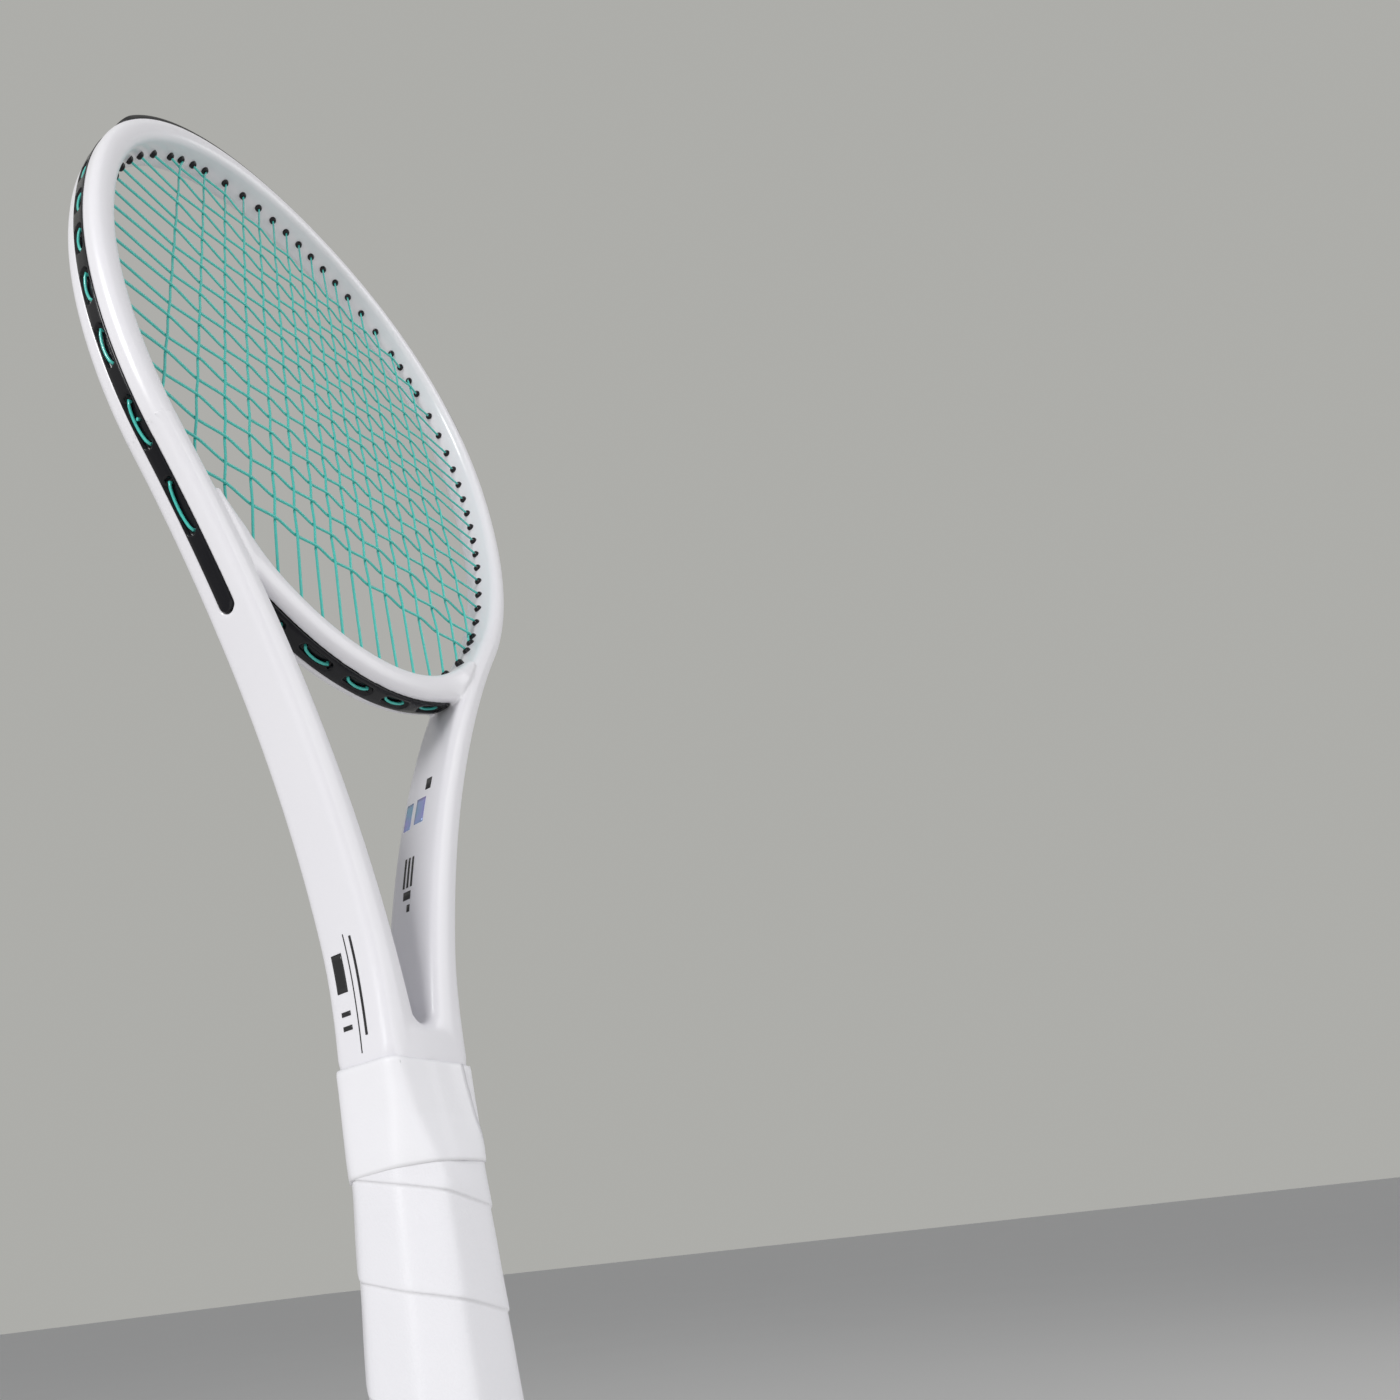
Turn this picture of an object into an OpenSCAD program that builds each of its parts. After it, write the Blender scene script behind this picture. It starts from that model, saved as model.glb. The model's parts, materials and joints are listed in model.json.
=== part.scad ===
// Tennis racket, adult size, strung and wrapped.
// +Z runs from the butt to the tip, X is the width, -Y is the front face.
// The origin is the middle of the butt's end, where balance is measured from.

/* [Head] */
// Length from the butt's end to the tip of the bumper
overall_len = 685.8; // [675:0.1:700]
// Half the width of the string opening, before the egg shape
head_a = 124; // [114:0.5:132]
// Half the length of the string opening
head_b = 162; // [150:0.5:172]
// Egg shape: how much wider the top is than the middle
head_egg = 0.105; // [0.04:0.005:0.13]
// Power of the oval, 2 is an ellipse
head_power = 2.1; // [2:0.05:2.3]
// Width of the hoop in the string plane
hoop_w = 11.4; // [10.5:0.1:13]
// Thickness of the frame, front face to back face
beam = 21; // [19:0.1:24]
// Radius of the frame's long edges
edge_r = 4.6; // [3.5:0.1:5]

/* [Shafts and throat] */
// Angle on the oval where the shafts leave the head
leave_angle = -42; // [-46:1:-38]
// Width of a shaft at its lower end
shaft_w = 12.2; // [11:0.1:13.5]
// Distance from the middle to a shaft's centre line, low in the throat
shaft_x = 12; // [11:0.5:14]
// Depth of that place below the string opening
shaft_z = 124.1; // [118:0.1:128]
// Sideways lean of the shafts at that place, as a slope
shaft_lean = 0.2; // [0.1:0.01:0.3]
// Depth of the bottom of the throat's V below the string opening
crotch_z = 133.1; // [131:0.1:136]
// Radius of that bottom, where the two shafts run together
crotch_r = 5.4; // [5:0.1:6.5]
// Width of the bridge at its middle, in the string plane
bridge_w = 12; // [11:0.5:14]
// Thickness of the bridge, front to back
bridge_beam = 18.8; // [17:0.1:20]
// How much wider the bridge grows where it runs into the shafts
bridge_flare = 14; // [4:0.5:18]

/* [Grommets and bumper] */
// Width of the groove round the head
groove_w = 7; // [6:0.1:8]
// Width of the groove under the bridge
throat_groove_w = 9; // [7:0.5:9]
// Depth of both grooves
groove_depth = 2.8; // [2.5:0.1:3.2]
// Depth of the side strips' ends below the string opening
strip_end_z = 9.1; // [4:0.1:15]
// Thickness of the grommet strips
strip_t = 1.1; // [0.9:0.1:1.4]
// Gap between a strip and its groove, and a barrel and its hole
seat_gap = 0.1; // [0.05:0.05:0.2]
// Radius of a grommet's barrel
barrel_r = 1.75; // [1.6:0.05:1.9]
// Radius of the bore the string runs through
bore_r = 1.1; // [0.95:0.05:1.2]
// How far a barrel stands out inside the head
barrel_out = 1.6; // [1:0.1:2.5]
// Angle each side of the tip that the bumper covers
bumper_half = 38; // [30:1:44]
// Width of the bumper
bumper_w = 16.4; // [14:0.2:17]
// How far the bumper stands proud of the hoop
bumper_out = 1.3; // [1:0.1:1.8]

/* [Strings] */
// Diameter of the string
string_d = 1.28; // [1.15:0.01:1.35]
// Gap between two strings where they cross
cross_gap = 0.1; // [0.06:0.02:0.2]
// Number of main strings
mains = 16; // [16:2:18]
// Number of cross strings
crosses = 19; // [18:1:19]
// Spacing of the mains in the middle
main_step = 10.4; // [9.8:0.1:10.6]
// Growth of that spacing outwards
main_grow = 0.032; // [0.03:0.0005:0.033]
// Height of the middle cross over the middle of the head
cross_mid = 4.9; // [4.4:0.1:5.4]
// Spacing of the crosses in the middle
cross_step = 12.5; // [12.2:0.1:12.7]
// Extra spacing of the upper crosses
cross_skew = 0.05; // [0:0.01:0.06]
// Growth of that spacing towards both ends
cross_grow = 0.011; // [0.008:0.001:0.012]

/* [Handle] */
// Width of the bare handle
pallet_w = 29; // [27:0.2:31]
// Depth of the bare handle
pallet_d = 25.2; // [24:0.2:27]
// How far each corner of the octagon is cut back
pallet_c = 6.6; // [5:0.2:8]
// Distance from the bottom of the throat's V down to the top of the pallets
pallet_top = 38; // [34:1:46]
// Thickness of the base grip
grip_t = 1.7; // [1.2:0.1:2.2]
// Distance from the bottom of the V down to the base grip's top edge
grip_top = 24; // [22:1:28]
// Thickness of the overgrip
overgrip_t = 0.6; // [0.4:0.1:0.8]
// Extra thickness where a turn laps the one below
lap_t = 0.5; // [0.2:0.1:0.7]
// Rise of the overgrip in one turn
wrap_pitch = 20.6; // [18:0.1:26]
// Distance from the bottom of the V down to the overgrip's top edge
overgrip_top = 12; // [10:1:14]
// Width of the finishing tape
tape_w = 24; // [20:1:25]

/* [Butt] */
// Height of the butt cap
cap_h = 26; // [22:1:32]
// How far the cap's rim stands out beyond the bare handle
cap_flare = 4.6; // [4:0.2:5.4]
// Thickness of the cap's end wall
cap_wall = 2.6; // [2:0.1:3.5]
// Height of the rim that shows below the wrap
rim_h = 3.2; // [2.5:0.1:4.5]
// Width of the trap door
door_w = 19; // [16:0.5:20]
// Depth of the trap door, front to back
door_d = 14; // [12:0.5:15]
// Gap round the trap door
door_gap = 0.35; // [0.3:0.05:0.5]

/* [Hidden] */
$fn = 24;
eps = 0.01;

string_r = string_d / 2;
weave = string_r + cross_gap / 2;      // how far a string leaves the plane at a crossing
string_lift = string_r + 0.32;         // height of a string over the strip it lies on
hole_r = barrel_r + seat_gap;
head_z = overall_len - bumper_out - hoop_w - head_b;   // height of the oval's centre
opening_z = head_z - head_b;           // height of the string opening's lowest point
foot_z = opening_z - shaft_z;          // height of the shafts' low place
v_z = opening_z - crotch_z;            // height of the bottom of the V
tail_z = opening_z - strip_end_z;      // height of the side strips' ends
pallet_z = v_z - pallet_top;           // heights of the pallets' top and of both wraps' top edges
grip_z = v_z - grip_top;
wrap_z = v_z - overgrip_top;
half_groove = min(groove_w / 2, beam / 2 - edge_r - 0.3);
half_throat = min(throat_groove_w / 2, bridge_beam / 2 - edge_r - 0.2);
stem_wall = 3;                         // thickness of the pallets beside the frame's stem
corner_wall = 0.3;                     // and where the stem's corner comes nearest to the octagon
stem_hw = pallet_w / 2 - stem_wall;    // half width of the stem, and half depth
stem_hd = (pallet_w + pallet_d) / 2 - pallet_c - stem_hw - corner_wall;
stem_z = 14;                           // where the stem ends above the butt
block_hw = shaft_x + shaft_w / 2 - (foot_z - v_z) * shaft_lean;
wrap_foot = rim_h + 0.2;               // where both wraps begin, above the rim

// ---- plane curves, as [x, z] ----
function sgn_pow(v, k) = sign(v) * pow(abs(v), k);
function unit(v) = v / norm(v);
function turn_out(t) = [t[1], -t[0]];  // outward normal of a curve that runs anticlockwise
function lerp(a, b, f) = a + (b - a) * f;

function oval(t) =
    [head_a * sgn_pow(cos(t), 2 / head_power) * (1 + head_egg * sin(t)),
     head_z + head_b * sgn_pow(sin(t), 2 / head_power)];
function oval_normal(t) = turn_out(unit(oval(t + 0.05) - oval(t - 0.05)));
function oval_out(t, d) = oval(t) + d * oval_normal(t);

function bezier(p, f) =
    pow(1 - f, 3) * p[0] + 3 * pow(1 - f, 2) * f * p[1]
    + 3 * (1 - f) * f * f * p[2] + f * f * f * p[3];
function bezier_normal(p, f) = turn_out(unit(bezier(p, f + 0.001) - bezier(p, f - 0.001)));

// ---- the frame's centre line, right half, from the stem up to the tip ----
leave_pt = oval_out(leave_angle, hoop_w / 2);
leave_dir = unit(oval_out(leave_angle, hoop_w / 2) - oval_out(leave_angle + 0.1, hoop_w / 2));
foot_pt = [shaft_x, foot_z];
foot_dir = unit([shaft_lean, 1]);
shaft_reach = norm(leave_pt - foot_pt) / 3;
shaft_curve = [foot_pt, foot_pt + shaft_reach * foot_dir, leave_pt + shaft_reach * leave_dir, leave_pt];
root_pt = foot_pt - 17 * foot_dir;     // the shaft's root, buried in the block

shaft_steps = 13;
hoop_step = 4.4;
strip_fade = 3.5;                      // length over which a groove closes at its end

// a station is [centre, normal, width, groove half width, groove depth]
function groove_at(z) = z > tail_z + strip_fade ? [half_groove, groove_depth]
    : z < tail_z ? [half_groove * 0.6, 0]
    : let (f = (z - tail_z) / strip_fade)
      [half_groove * (0.6 + 0.4 * sqrt(1 - pow(1 - f, 2))), f > 0.05 ? groove_depth : 0];
function station(c, n, w) = let (g = groove_at(c[1])) [c, n, w, g[0], g[1]];
shaft_fs = [for (k = [0:shaft_steps - 1]) k / shaft_steps];
// two more stations make the groove's end steep
end_fs = [for (z = [tail_z - 0.3, tail_z + 0.3, tail_z + strip_fade])
    shaft_f(z, 0, 1, 18)];
function shaft_f(z, lo, hi, n) = n == 0 ? (lo + hi) / 2
    : let (m = (lo + hi) / 2) bezier(shaft_curve, m)[1] > z
      ? shaft_f(z, lo, m, n - 1) : shaft_f(z, m, hi, n - 1);
function sorted(v) = len(v) < 2 ? v : let (p = v[0])
    concat(sorted([for (q = v) if (q < p) q]), [p], sorted([for (q = v) if (q > p) q]));
half_path = concat(
    [station(root_pt, turn_out(foot_dir), shaft_w)],
    [for (f = sorted(concat(shaft_fs, end_fs)))
        station(bezier(shaft_curve, max(f, 0.002)), bezier_normal(shaft_curve, max(f, 0.002)),
                lerp(shaft_w, hoop_w, f))],
    [for (t = [leave_angle:hoop_step:90 - hoop_step / 2])
        station(oval_out(t, hoop_w / 2), oval_normal(t), hoop_w)]);
tip_station = [station(oval_out(90, hoop_w / 2), [0, 1], hoop_w)];
function mirrored(s) = [[-s[0][0], s[0][1]], [-s[1][0], s[1][1]], s[2], s[3], s[4]];
hairpin_path = concat(half_path, tip_station,
    [for (k = [len(half_path) - 1:-1:0]) mirrored(half_path[k])]);

// ---- the bridge's centre line, left to right under the string opening ----
bridge_ends = 38;                      // half angle of the bridge, from straight down
bridge_step = 4;
function bridge_width(a) = bridge_w + bridge_flare * pow(abs(a) / bridge_ends, 5);
function bridge_groove(a) = abs(a) < 25 ? groove_depth : 0;
bridge_path = [for (a = [-bridge_ends:bridge_step / 2:bridge_ends])
    let (t = a - 90, w = bridge_width(a))
    [oval_out(t, w / 2), oval_normal(t), w, half_throat, bridge_groove(a)]];

// ---- solids swept along stations ----
function place(s, u, v) = let (p = s[0] + u * s[1]) [p[0], v, p[1]];
function frame_ring(s, depth) = let (hw = s[2] / 2, hd = depth / 2, g = s[3], r = edge_r, k = edge_r * 0.2929)
    [for (q = [[-hw, hd - r], [-hw, r - hd], [k - hw, k - hd], [r - hw, -hd],
               [hw - r, -hd], [hw - k, k - hd], [hw, r - hd],
               [hw, -g], [hw - s[4], -g], [hw - s[4], g], [hw, g],
               [hw, hd - r], [hw - k, hd - k], [hw - r, hd],
               [r - hw, hd], [k - hw, hd - k]]) place(s, q[0], q[1])];
function reversed(v) = [for (k = [len(v) - 1:-1:0]) v[k]];
function tube_faces(rings, n, caps) = concat(
    [for (i = [0:rings - 2]) for (j = [0:n - 1]) let (k = (j + 1) % n)
        for (f = [[i * n + j, (i + 1) * n + j, i * n + k], [i * n + k, (i + 1) * n + j, (i + 1) * n + k]]) f],
    caps,
    [for (c = caps) [for (j = reversed(c)) (rings - 1) * n + j]]);
// rings of points joined up, closed at both ends by the faces in caps
module sweep(rings, caps) {
    n = len(rings[0]);
    polyhedron([for (r = rings) for (p = r) p],
               tube_faces(len(rings), n, is_undef(caps) ? [[for (j = [0:n - 1]) j]] : caps), 10);
}

// ---- string holes: [inner point, outward direction, point on the strip] ----
function nearest(path, p, k = 0, best = 0, d = 1e9) = k >= len(path) ? best
    : let (e = norm(path[k][0] - p)) nearest(path, p, k + 1, e < d ? k : best, min(e, d));
function between(path, p) =
    let (k = nearest(path, p), a = max(k - 1, 0), b = min(k + 1, len(path) - 1),
         t = path[b][0] - path[a][0], f = (p - path[a][0]) * t / (t * t),
         fa = norm(path[k][0] - path[a][0]) / norm(t),
         lo = f < fa ? a : k, hi = f < fa ? k : b,
         g = lo == hi ? 0 : (f < fa ? f / fa : (f - fa) / (1 - fa)))
    [lerp(path[lo][0], path[hi][0], g), unit(lerp(path[lo][1], path[hi][1], g)),
     lerp(path[lo][2], path[hi][2], g)];
function strip_top(s) = s[0] + s[1] * (s[2] / 2 - groove_depth + strip_t);
function hole(path, p) = let (out = strip_top(between(path, p))) [p, unit(out - p), out];
// the same for a hole in the bridge, which runs straight down
function drop_to(path, p, q) = let (s = between(path, q)) [p[0], p[1] + (strip_top(s) - p) * s[1] / s[1][1]];
function throat_hole(p) = let (q = drop_to(bridge_path, p, p)) [p, [0, -1], drop_to(bridge_path, p, q)];

main_half = mains / 2;
function main_x(i) = main_step * (i - 0.5) + main_grow * pow(i - 0.5, 3);
// the oval's angle at a main's upper (s = 1) or lower (s = -1) end, closed in on n times
function main_t(x, s, t = 0, n = 8) = n == 0 ? t
    : let (c = pow(x / (head_a * (1 + head_egg * sin(t))), head_power / 2))
      main_t(x, s, s * acos(min(c, 1)), n - 1);
function cross_z(j) = let (k = (crosses - 1) / 2 - j)
    head_z + cross_mid + cross_step * k + cross_skew * k * k + cross_grow * pow(k, 3);
function cross_t(z) = let (v = (z - head_z) / head_b) asin(sgn_pow(v, head_power / 2));
bridge_mains = 5;                      // mains each side of the middle that end in the bridge
function main_top(i) = hole(hairpin_path, oval(main_t(main_x(i), 1)));
function main_foot(i) = let (p = oval(main_t(main_x(i), -1)))
    i <= bridge_mains ? throat_hole(p) : hole(hairpin_path, p);
function cross_end(j) = hole(hairpin_path, oval(cross_t(cross_z(j))));
function flip(h) = [for (q = h) [-q[0], q[1]]];
function both(v) = concat(v, [for (h = v) flip(h)]);
head_holes = both(concat([for (i = [1:main_half]) main_top(i)],
    [for (i = [bridge_mains + 1:main_half]) main_foot(i)],
    [for (j = [0:crosses - 1]) cross_end(j)]));
bridge_holes = both([for (i = [1:bridge_mains]) main_foot(i)]);

module bar(p, d, from, to, r) {
    translate([p[0] + d[0] * from, 0, p[1] + d[1] * from])
        rotate([0, atan2(d[0], d[1]), 0])
            cylinder(h = to - from, r = r);
}
module drilled(holes, r) {
    for (h = holes) bar(h[0], h[1], -4, norm(h[2] - h[0]) + 3, r);
}
module barrels(holes) {
    for (h = holes) bar(h[0], h[1], -barrel_out, norm(h[2] - h[0]) - strip_t / 2, barrel_r);
}

// ---- the frame: hoop, two shafts and the stem in the handle, one moulded hairpin ----
// one side of it below the middle of the head, without its groove
module shaft() {
    sweep([for (s = half_path) if (s[0][1] < head_z) frame_ring([s[0], s[1], s[2], half_groove, 0], beam)]);
}
module frame() {
    color("whitesmoke") {
        difference() {
            sweep([for (s = hairpin_path) frame_ring(s, beam)]);
            drilled(head_holes, hole_r);
        }
        neck();
        translate([-stem_hw, -stem_hd, stem_z]) cube([2 * stem_hw, 2 * stem_hd, pallet_z - stem_z + 1]);
    }
}
function block_ring(z, hw, hd, r) = let (k = r * 0.2929)
    [for (q = [[hw, hd - r], [hw - k, hd - k], [hw - r, hd], [r - hw, hd], [k - hw, hd - k], [-hw, hd - r],
               [-hw, r - hd], [k - hw, k - hd], [r - hw, -hd], [hw - r, -hd], [hw - k, k - hd], [hw, r - hd]])
        [q[0], q[1], z]];
function neck_hw(z) = lerp(stem_hw, block_hw, min(1, (z - pallet_z) / (wrap_z - pallet_z)));
function neck_hd(z) = lerp(stem_hd, beam / 2, min(1, (z - pallet_z) / (wrap_z - pallet_z)));
module neck() {
    difference() {
        union() {
            sweep([for (z = [pallet_z, wrap_z, v_z]) block_ring(z, neck_hw(z), neck_hd(z), edge_r)]);
            web();
        }
        crotch_cut();
    }
}
// the web between the two shafts, up to the middle of the round at the bottom of the V
module web() {
    low = v_z - 2;
    high = v_z + crotch_r;
    rotate([90, 0, 0])
        linear_extrude(beam, center = true)
            polygon([[-shaft_mid(low), low], [shaft_mid(low), low], [shaft_mid(high), high], [-shaft_mid(high), high]]);
}
function shaft_mid(z) = shaft_x - (foot_z - z) * shaft_lean;
// the round itself, flared at both faces like the shafts' own edges
module crotch_cut() {
    hd = beam / 2;
    k = edge_r * 0.2929;
    translate([0, 0, v_z + crotch_r])
        rotate([90, 0, 0])
            rotate_extrude()
                polygon([[0, -hd - 1], [crotch_r + edge_r, -hd - 1], [crotch_r + edge_r, -hd],
                         [crotch_r + k, k - hd], [crotch_r, edge_r - hd], [crotch_r, hd - edge_r],
                         [crotch_r + k, hd - k], [crotch_r + edge_r, hd], [crotch_r + edge_r, hd + 1], [0, hd + 1]]);
}

module throat_bridge() {
    color("white")
        difference() {
            intersection() {
                sweep([for (s = bridge_path) frame_ring(s, bridge_beam)]);
                rotate([90, 0, 0])
                    linear_extrude(beam, center = true)
                        polygon([for (s = hairpin_path) s[0]]);
            }
            shaft();
            mirror([1, 0, 0]) shaft();
            drilled(concat(bridge_holes, head_holes), hole_r);
        }
}

// ---- grommet strips ----
function strip_ring(s, g) = let (lo = s[2] / 2 - groove_depth + 0.02, hi = lo + strip_t - 0.04)
    [for (q = [[lo, -g], [hi, -g], [hi, g], [lo, g]]) place(s, q[0], q[1])];
bumper_foot = oval_out(90 - bumper_half, hoop_w / 2)[1];
side_stations = [for (s = half_path)
    if (s[0][1] > tail_z + strip_fade - 0.1 && s[0][1] < bumper_foot + 7) s];
bumper_wall = 0.7;
function bumper_ring(s) = let (lo = s[2] / 2 - groove_depth, f = s[2] / 2, g = half_groove - seat_gap,
        i = g - bumper_wall, b = bumper_w / 2, top = f + bumper_out, k = beam / 2 - edge_r)
    [for (q = [[lo, -g], [f + seat_gap, -g], [f + seat_gap, -k], [f - 0.35, -b], [f + 0.3, -b],
               [top, 1 - b], [top, -i], [lo + strip_t, -i], [lo + strip_t, i], [top, i], [top, b - 1],
               [f + 0.3, b], [f - 0.35, b], [f + seat_gap, k], [f + seat_gap, g], [lo, g]])
        place(s, q[0], q[1])];
bumper_stations = [for (s = hairpin_path) if (s[0][1] > bumper_foot) s];
bumper_caps = [[0, 7, 8, 15], [0, 1, 6, 7], [1, 2, 5, 6], [2, 3, 4, 5],
               [8, 9, 14, 15], [9, 10, 13, 14], [10, 11, 12, 13]];
module side_strip() {
    s = side_stations[0];
    translate(place(s, s[2] / 2 - groove_depth + 0.03, 0))
        rotate([0, atan2(s[1][0], s[1][1]), 0])
            cylinder(h = strip_t - 0.03, r = half_groove - 0.5);
    sweep([for (s = side_stations) strip_ring(s, half_groove - 0.2)]);
}
module bumper_guard() {
    color("black")
        difference() {
            union() {
                side_strip();
                mirror([1, 0, 0]) side_strip();
                sweep([for (s = bumper_stations) bumper_ring(s)], bumper_caps);
                barrels(head_holes);
            }
            drilled(head_holes, bore_r);
        }
}
module throat_grommets() {
    color("black")
        difference() {
            union() {
                sweep([for (s = bridge_path) if (s[4] > 0) strip_ring(s, half_throat - seat_gap)]);
                barrels(bridge_holes);
            }
            drilled(bridge_holes, bore_r);
        }
}

// ---- strings: each one unbroken tube along its real route ----
function at(p, y) = [p[0], y, p[1]];
function inside(h) = at(h[0] - h[1] * (barrel_out + 0.3), 0);
function outside(h) = at(h[2] + h[1] * string_lift, 0);
function over(i, j) = ((i + j) % 2 == 0 ? 1 : -1) * weave;
// the loop in the strip from one hole to the next, bowed to one side of the groove by y
function loop_points(path, a, b, y) =
    [for (f = [0.25, 0.5, 0.75]) let (s = between(path, lerp(a[2], b[2], f)))
        at(strip_top(s) + s[1] * string_lift, y * (f == 0.5 ? 1 : 0.86))];
loop_bow = string_d + 0.25;
// main number c from the left (0 first): its holes and its bed points from the bottom up
function column(c) = let (i = c < main_half ? main_half - c : c - main_half + 1,
        top = main_top(i), foot = main_foot(i))
    [c < main_half ? flip(top) : top, c < main_half ? flip(foot) : foot];
function crossing(c, j) = let (h = column(c), z = cross_z(j)) z > h[1][0][1] + 4 && z < h[0][0][1] - 4;
function column_points(c) = let (h = column(c), x = h[0][0][0])
    concat([outside(h[1]), inside(h[1])],
        [for (j = [crosses - 1:-1:0]) if (crossing(c, j)) [x, over(c, j), cross_z(j)]],
        [inside(h[0]), outside(h[0])]);
// mains run up and down from the left, with a loop over the tip or under the throat after each
function column_loop(c) = c == mains - 1 ? []
    : c % 2 == 0 ? loop_points(hairpin_path, column(c)[0], column(c + 1)[0], -loop_bow)
    : loop_points(abs(c + 1 - main_half) < bridge_mains ? bridge_path : hairpin_path,
                  column(c)[1], column(c + 1)[1], -loop_bow);
main_route = [for (c = [0:mains - 1]) let (v = column_points(c))
    for (p = concat(c % 2 == 0 ? v : reversed(v), column_loop(c))) p];
function row_points(j) = let (h = cross_end(j))
    concat([outside(flip(h)), inside(flip(h))],
        [for (c = [0:mains - 1]) if (crossing(c, j)) [column(c)[0][0][0], -over(c, j), cross_z(j)]],
        [inside(h), outside(h)]);
// crosses run to and fro from the tip down, with a loop in a side strip after each
function row_loop(j) = let (a = cross_end(j), b = cross_end(j + 1))
    j == crosses - 1 ? []
    : j % 2 == 0 ? loop_points(hairpin_path, a, b, loop_bow)
    : loop_points(hairpin_path, flip(a), flip(b), loop_bow);
cross_route = [for (j = [0:crosses - 1]) let (v = row_points(j))
    for (p = concat(j % 2 == 0 ? v : reversed(v), row_loop(j))) p];

string_sides = 5;
function string_ring(p, a, b) = let (
        t = unit(unit(b - p) + unit(p - a)), c = max(0.72, unit(b - p) * t),
        e = unit(cross(cross(t, [0, 1, 0]), t)), n = cross(t, e))
    [for (k = [0:string_sides - 1]) let (w = 360 * k / string_sides)
        p + string_r * (e * cos(w) + n * sin(w) / c)];
module string_tube(v) {
    last = len(v) - 1;
    sweep([for (k = [0:last])
        string_ring(v[k], k == 0 ? 2 * v[0] - v[1] : v[k - 1], k == last ? 2 * v[last] - v[last - 1] : v[k + 1])]);
}
module main_string() {
    color("mediumturquoise") string_tube(main_route);
}
module cross_string() {
    color("turquoise") string_tube(cross_route);
}

// ---- handle ----
function octagon(z, hw, hd, c) =
    [for (q = [[hw, hd - c], [hw - c, hd], [c - hw, hd], [-hw, hd - c],
               [-hw, c - hd], [c - hw, -hd], [hw - c, -hd], [hw, c - hd]]) [q[0], q[1], z]];
module pallet_half() {
    difference() {
        intersection() {
            sweep([octagon(stem_z, pallet_w / 2, pallet_d / 2, pallet_c),
                   octagon(pallet_z, pallet_w / 2, pallet_d / 2, pallet_c)]);
            translate([-pallet_w, 0, 0]) cube([2 * pallet_w, pallet_d, pallet_z + 1]);
        }
        translate([-stem_hw, -1, 0]) cube([2 * stem_hw, stem_hd + 1, pallet_z + 1]);
    }
}
module pallet_front() {
    color("dimgray") mirror([0, 1, 0]) pallet_half();
}
module pallet_back() {
    color("gray") pallet_half();
}

// the handle's outline under the wraps, grown by t: [height, half width, half depth, cut corner]
neck_cut = 2.4;
skirt_t = 0.9;                         // wall of the cap round the pallets
cap_foot = cap_flare / 2;              // how far the cap's body stands out at the rim
function grown(v, t) = [v[0], v[1] + t, v[2] + t, v[3] + t * 0.586];
function core(z) = [z, neck_hw(z) + 0.1, neck_hd(z) + 0.1, neck_cut];
function pallet_at(z, t) = grown([z, pallet_w / 2, pallet_d / 2, pallet_c], t);
core_profile = [pallet_at(wrap_foot, cap_foot), pallet_at(stem_z, skirt_t + 0.2), pallet_at(cap_h, skirt_t),
                pallet_at(cap_h + 3, 0), pallet_at(pallet_z, 0)];
function ring_of(v) = octagon(v[0], v[1], v[2], v[3]);
function moved(v, dz) = [v[0] + dz, v[1], v[2], v[3]];
// the inner profile of a skin, run half a millimetre past both ends
function run_past(v) = concat([moved(v[0], -0.5)], v, [moved(v[len(v) - 1], 0.5)]);
module skin(inner, outer) {
    difference() {
        sweep([for (v = outer) ring_of(v)]);
        sweep([for (v = run_past(inner)) ring_of(v)]);
    }
}
grip_inner = concat(core_profile, [core(grip_z)]);
grip_outer = [for (v = grip_inner) grown(v, grip_t)];
module base_grip() {
    color("lightgray") skin(grip_inner, grip_outer);
}

// the overgrip: a spiral tape whose turns lap, so its outside climbs by a step each turn
function profile_at(pr, z, k = 0) = k >= len(pr) - 2 || z <= pr[k + 1][0]
    ? lerp(pr[k], pr[k + 1], (z - pr[k][0]) / (pr[k + 1][0] - pr[k][0])) : profile_at(pr, z, k + 1);
wrap_core = concat(grip_outer, [core(wrap_z)]);
function lap(z, w) = let (f = (z - wrap_foot) / wrap_pitch + w / 360, g = f - floor(f)) lap_t * (1 - g);
wrap_ring_step = 4.6;
wrap_rings = floor((wrap_z - wrap_foot) / wrap_ring_step);
function wrap_ring(z) = let (o = ring_of(grown(profile_at(wrap_core, z), overgrip_t)))
    [for (k = [0:7]) for (f = [0.5, 1]) let (q = lerp(o[k], o[(k + 1) % 8], f), p = [q[0], q[1]],
            g = p + unit(p) * lap(z, atan2(q[1], q[0])))
        [g[0], g[1], z]];
module overgrip() {
    color("white")
        difference() {
            sweep([for (k = [0:wrap_rings])
                wrap_ring(lerp(wrap_foot, wrap_z, k / wrap_rings))]);
            sweep([for (v = run_past(wrap_core)) ring_of(v)]);
        }
}
tape_t = 0.25;
module finishing_tape() {
    inner = [for (z = [wrap_z - tape_w, grip_z, wrap_z])
        grown(profile_at(wrap_core, z), overgrip_t + lap_t + 0.05)];
    color("white") skin(inner, [for (v = inner) grown(v, tape_t)]);
}

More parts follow.
